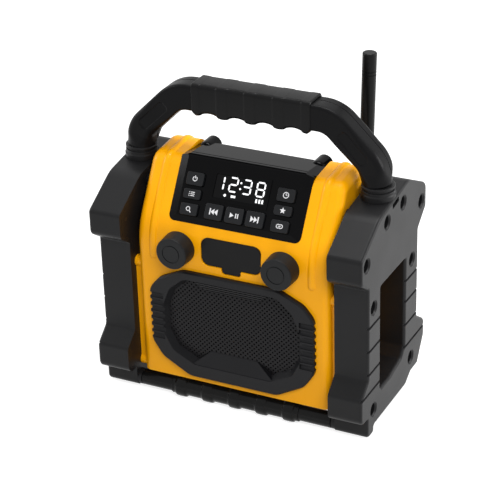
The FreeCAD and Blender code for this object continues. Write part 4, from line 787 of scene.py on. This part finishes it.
# %% [markdown]
# ## The carry handle
#
# In CAD the handle is a plain bent tube. The moulded one is a little thicker, its edges are tight
# on the bar and soft at the legs, and a long recess lies on each slanting arm. It is a profile
# carried along a path: straight runs and arcs give the path, and a rounded rectangle, whose sides
# and edges change on the way, gives the profile. At each foot it turns into the circle that stands
# on the collar. The recess and the seam between the two halves are dents in the same surface.

# %% Carry handle
foot_x, foot_z, foot_radius = 93.4 * mm, 181.0 * mm, 10.8 * mm
elbow_x, elbow_z, elbow_bend = 91.1 * mm, 195.4 * mm, 20.3 * mm
knee_x, bar_z, knee_bend = 60.0 * mm, 225.5 * mm, 22.3 * mm
bar_y = 1.2 * mm
bar_half_height, bar_half_depth, bar_edge = 9.8 * mm, 10.05 * mm, 2.4 * mm
leg_half_width, leg_half_depth, leg_edge = 9.8 * mm, 11.2 * mm, 5.0 * mm
seam_y, seam_depth, seam_reach = 3.0 * mm, 0.55 * mm, 0.28 * mm
recess_depth, recess_wall = 0.7 * mm, 0.5 * mm
recess_middle, recess_half_length = 25.5 * mm, 13.8 * mm
recess_shift, recess_half_height, recess_corner = 0.1 * mm, 4.4 * mm, 3.4 * mm


def eased(low, high, value):
    """0 below low, 1 above high and a smooth S between them: 3 s^2 - 2 s^3."""
    share = np.clip((value - low) / (high - low), 0, 1)
    return share * share * (3 - 2 * share)


def bent_path(corners, bends, step):
    """Points and directions along straight runs that are joined by arcs, each tangent to both."""
    points, headings = [], []
    last = corners[0]
    for before, corner, after, bend in zip(corners[:-2], corners[1:-1], corners[2:], bends):
        way_in = (corner - before) / np.linalg.norm(corner - before)
        way_out = (after - corner) / np.linalg.norm(after - corner)
        turn = math.acos(way_in @ way_out)
        cut = bend * math.tan(turn / 2)
        start = corner - way_in * cut
        count = max(2, math.ceil(np.linalg.norm(start - last) / step))
        share = np.linspace(0, 1, count, endpoint=False)[:, None]
        points.append(last + (start - last) * share)
        headings.append(np.repeat(way_in[None], count, 0))
        angle = np.linspace(0, turn, math.ceil(turn * bend / step), endpoint=False)[:, None]
        inward = (way_out - way_in * math.cos(turn)) / math.sin(turn)
        points.append(start + bend * (np.sin(angle) * way_in + (1 - np.cos(angle)) * inward))
        headings.append(np.cos(angle) * way_in + np.sin(angle) * inward)
        last = corner + way_out * cut
    count = max(2, math.ceil(np.linalg.norm(corners[-1] - last) / step))
    points.append(last + (corners[-1] - last) * np.linspace(0, 1, count)[:, None])
    headings.append(np.repeat(way_out[None], count, 0))
    return np.concatenate(points), np.concatenate(headings)


def section_columns(spots_of_side, edge_steps=6):
    """Columns of a rounded rectangle: where each stands on its flat (flat), and which way it looks.

    Side k is turned by k quarter turns from the outer one; its spots run from -1 to 1 along it.
    """
    flat, look = [], []
    for side, spots in enumerate(spots_of_side):
        out = np.array([math.cos(side * math.pi / 2), math.sin(side * math.pi / 2)])
        along = np.array([-out[1], out[0]])
        flat.append(out + along * spots[:, None])
        look.append(np.repeat(out[None], len(spots), 0))
        angle = side * np.pi / 2 + np.linspace(0, np.pi / 2, edge_steps + 1)[1:-1]
        flat.append(np.repeat((out + along)[None], edge_steps - 1, 0))
        look.append(np.stack([np.cos(angle), np.sin(angle)], 1))
    return np.concatenate(flat), np.concatenate(look)


def recess_dent(x, z):
    """Depth of the long recess on a slanting arm: a rounded rectangle along the knee-elbow line.

    The distance to its outline is that of a box less its corner radius; the wall is an S curve.
    """
    slant = np.array([elbow_x - knee_x, elbow_z - bar_z])
    slant = slant / np.linalg.norm(slant)
    from_knee = np.stack([np.abs(x) - knee_x, z - bar_z], -1)
    along = from_knee @ slant
    across = from_knee @ np.array([-slant[1], slant[0]])
    box = np.stack([np.abs(along - recess_middle) - recess_half_length + recess_corner,
                    np.abs(across - recess_shift) - recess_half_height + recess_corner], -1)
    outside = np.linalg.norm(np.clip(box, 0, None), axis=-1)
    distance = outside + np.minimum(box.max(-1), 0) - recess_corner
    return recess_depth * eased(0, recess_wall, -distance)


def wrapped(name, points, material, body, around_both_ways=False):
    """Closed surface through a grid of points: stations x columns. Open ends get a flat cap."""
    rows, count = points.shape[:2]
    last = rows if around_both_ways else rows - 1
    row, column = np.meshgrid(np.arange(last), np.arange(count), indexing="ij")
    next_row, next_column = (row + 1) % rows, (column + 1) % count
    faces = np.stack([row * count + column, row * count + next_column,
                      next_row * count + next_column, next_row * count + column], 2).reshape(-1, 4)
    faces = list(faces)
    if not around_both_ways:
        ring = np.arange(count)
        faces += [ring[::-1], ring + (rows - 1) * count]
    return new_piece(name, points.reshape(-1, 3), faces, material, body, smooth=True)


def handle_points():
    """Stations x columns of the handle: path + sideways * a + Y * b, less the dents.

    The columns are put out in reverse, so that the faces wrapped over them look outwards.
    """
    corners = np.array([(-foot_x, foot_z), (-elbow_x, elbow_z), (-knee_x, bar_z),
                        (knee_x, bar_z), (elbow_x, elbow_z), (foot_x, foot_z)])
    path, heading = bent_path(corners, [elbow_bend, knee_bend, knee_bend, elbow_bend], 0.55 * mm)
    outward = np.stack([-heading[:, 1], heading[:, 0]], 1)
    z = path[:, 1]
    above_foot = eased(183.0 * mm, 192.0 * mm, z)
    on_bar = eased(200.0 * mm, 216.0 * mm, z)
    half_out = foot_radius + (leg_half_width - foot_radius) * above_foot
    half_out = half_out + (bar_half_height - leg_half_width) * on_bar
    half_depth = foot_radius + (leg_half_depth - foot_radius) * above_foot
    half_depth = half_depth + (bar_half_depth - leg_half_depth) * on_bar
    edge = foot_radius - 0.3 * mm + (leg_edge - foot_radius + 0.3 * mm) * above_foot
    edge = edge + (bar_edge - leg_edge) * on_bar
    outer_spots = np.concatenate([np.linspace(-1, 0.1, 5), np.arange(0.14, 0.5, 0.03),
                                  np.linspace(0.55, 1, 4)])
    spots = [outer_spots, np.linspace(-1, 1, 6), -outer_spots[::-1], np.linspace(-1, 1, 36)]
    flat, look = section_columns(spots)
    a = flat[:, 0] * (half_out - edge)[:, None] + look[:, 0] * edge[:, None]
    b = flat[:, 1] * (half_depth - edge)[:, None] + look[:, 1] * edge[:, None]
    y = b + (bar_y * above_foot)[:, None]
    seam = seam_depth * np.exp(-((y - seam_y) / seam_reach) ** 2) * np.abs(look[:, 0])
    a = a - np.sign(look[:, 0]) * seam
    x = path[:, :1] + outward[:, :1] * a
    z = path[:, 1:] + outward[:, 1:] * a
    front = np.clip(-look[:, 1], 0, 1) ** 4
    y = y + recess_dent(x, z) * front
    return np.stack([x, y, z], 2)[:, ::-1]


carry_handle = wrapped("carry_handle", handle_points(), handle_black, "cabinet")
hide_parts("handle_front", "handle_rear")
print("handle faces:", len(carry_handle.data.polygons))

# %% [markdown]
# ## Soft rubber round the handle and the foot bar
#
# Rubber is moulded without a single crisp edge. Both sleeves are swept surfaces: a closed section
# is drawn at many stations along X, and only a few numbers of that section change on the way. Five
# lobes stand out at one pitch. On a lobe the grip reaches deeper down and further out, and between
# two lobes its underside rises in a long arch for a finger.
#
# The sweep goes once round the hole as well: it starts on the inner wall at one end, runs along
# the outside and comes back to the inner wall at the other end, so the sleeve is closed.

# %% Rubber sleeves
lobe_pitch = 22.0 * mm
lobe_half = 4.3 * mm
lobe_shoulder = 0.55 * mm
corner_steps = 7
arch_z, arch_rise = 213.9 * mm, 1.5 * mm
knob_z, knob_rise = 212.8 * mm, 0.7 * mm
slope_start, slope_rise = 43.4 * mm, 2.4 * mm
lobe_half_depth, groove_step = 10.9 * mm, 0.3 * mm
groove_corner, lobe_step = 3.4 * mm, 0.5 * mm


def soft_lobes(along):
    """1 on a lobe, 0 between lobes, with a soft step; also the distance to the nearest lobe."""
    nearest = np.clip(np.round(along / lobe_pitch), -2, 2) * lobe_pitch
    away = np.abs(along - nearest)
    return 1 / (1 + np.exp(np.clip((away - lobe_half) / (0.45 * lobe_shoulder), -40, 40))), away


def rounded_section(half_y, low_z, high_z, radius):
    """Rounded rectangles, one per station: a quarter circle at each corner, joined by the sides.

    Every argument is an array over the stations; the result is stations x points x (y, z).
    """
    turn = np.linspace(0, np.pi / 2, corner_steps)
    sides = np.array([(1, 1), (-1, 1), (-1, -1), (1, -1)])
    angle = (turn[None] + np.arange(4)[:, None] * np.pi / 2).ravel()
    sign = np.repeat(sides, corner_steps, 0)
    half_z = (high_z - low_z) / 2
    y = sign[:, 0] * (half_y - radius)[:, None] + radius[:, None] * np.cos(angle)
    z = sign[:, 1] * (half_z - radius)[:, None] + radius[:, None] * np.sin(angle)
    return np.stack([y, z + ((high_z + low_z) / 2)[:, None]], 2)


def swept(name, along, sections, material, body):
    """Closed sleeve through the sections at their stations along X, wrapped both ways."""
    rows, count = sections.shape[:2]
    stations = np.repeat(along, count).reshape(rows, count, 1)
    points = np.concatenate([stations, sections], 2)
    return wrapped(name, points, material, body, around_both_ways=True)


def end_curve(along, half, rounding):
    """How far a sleeve's skin is drawn in near its ends: r - sqrt(r^2 - d^2), d past the bend."""
    past = np.clip(np.abs(along) - half + rounding, 0, None)
    return rounding - np.sqrt(np.clip(rounding ** 2 - past ** 2, 0, None))


grip_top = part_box("handle_grip")[1].z
end_round = 1.2 * mm
half_length = 46.6 * mm
turn = np.linspace(0, np.pi / 2, 8)
shoulder = half_length - end_round * (1 - np.sin(turn))
inner_part = np.linspace(-half_length + end_round, half_length - end_round, 260)
along = np.concatenate([-shoulder[::-1], inner_part[1:-1], shoulder])
drawn_in = end_curve(along, half_length, end_round)
lobes, away = soft_lobes(along)
groove_half = lobe_pitch / 2 - lobe_half
arch = arch_z + arch_rise * (1 - np.clip((lobe_pitch / 2 - away) / groove_half, -1, 1) ** 2)
knob_end = knob_z + knob_rise * np.clip(away / lobe_half, 0, 1) ** 2
past_slope = (np.abs(along) - slope_start) / (half_length - slope_start)
end_slope = slope_rise * np.clip(past_slope, 0, 1)
under = lobes * knob_end + (1 - lobes) * arch + end_slope
half_depth = lobe_half_depth - groove_step * (1 - lobes)
radius = groove_corner - lobe_step * lobes
outer = rounded_section(half_depth - drawn_in, under + drawn_in, grip_top - drawn_in, radius)
inner = rounded_section(np.full(2, bar_half_depth), np.full(2, bar_z - bar_half_height),
                        np.full(2, bar_z + bar_half_height), np.full(2, bar_edge))
stations = np.concatenate([[-half_length], along, [half_length]])
sections = np.concatenate([inner[:1], outer, inner[1:]])
sections[:, :, 0] += bar_y
smooth_grip = swept("lobed_grip", stations, sections, rubber, "cabinet")
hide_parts("handle_grip")

bar_middle_y, bar_middle_z = -43.0 * mm, 8.0 * mm
bar_radius = 6.0 * mm
sleeve_round = 0.6 * mm
groove_reach, lobe_reach, crown_fall = 6.9 * mm, 1.4 * mm, 0.25 * mm
sleeve_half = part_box("foot_bar_sleeve")[1].x
shoulder = sleeve_half - sleeve_round * (1 - np.sin(turn))
inner_part = np.linspace(-sleeve_half + sleeve_round, sleeve_half - sleeve_round, 300)
along = np.concatenate([-shoulder[::-1], inner_part[1:-1], shoulder])
lobes, away = soft_lobes(along)
drawn_in = end_curve(along, sleeve_half, sleeve_round)
crown = crown_fall * np.clip(away / lobe_half, 0, 1) ** 2
reach = groove_reach + (lobe_reach - crown) * lobes - drawn_in
around = np.linspace(0, 2 * np.pi, 36, endpoint=False)
circle = np.stack([np.cos(around), np.sin(around)], 1)
reach = np.concatenate([[bar_radius], reach, [bar_radius]])
stations = np.concatenate([[-sleeve_half], along, [sleeve_half]])
sections = reach[:, None, None] * circle + np.array([bar_middle_y, bar_middle_z])
sections[:, :, 1] = np.maximum(sections[:, :, 1], 0.0)
smooth_sleeve = swept("ringed_sleeve", stations, sections, bar_rubber, "cabinet")
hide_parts("foot_bar_sleeve")
print("sleeves:", len(smooth_grip.data.polygons), len(smooth_sleeve.data.polygons))
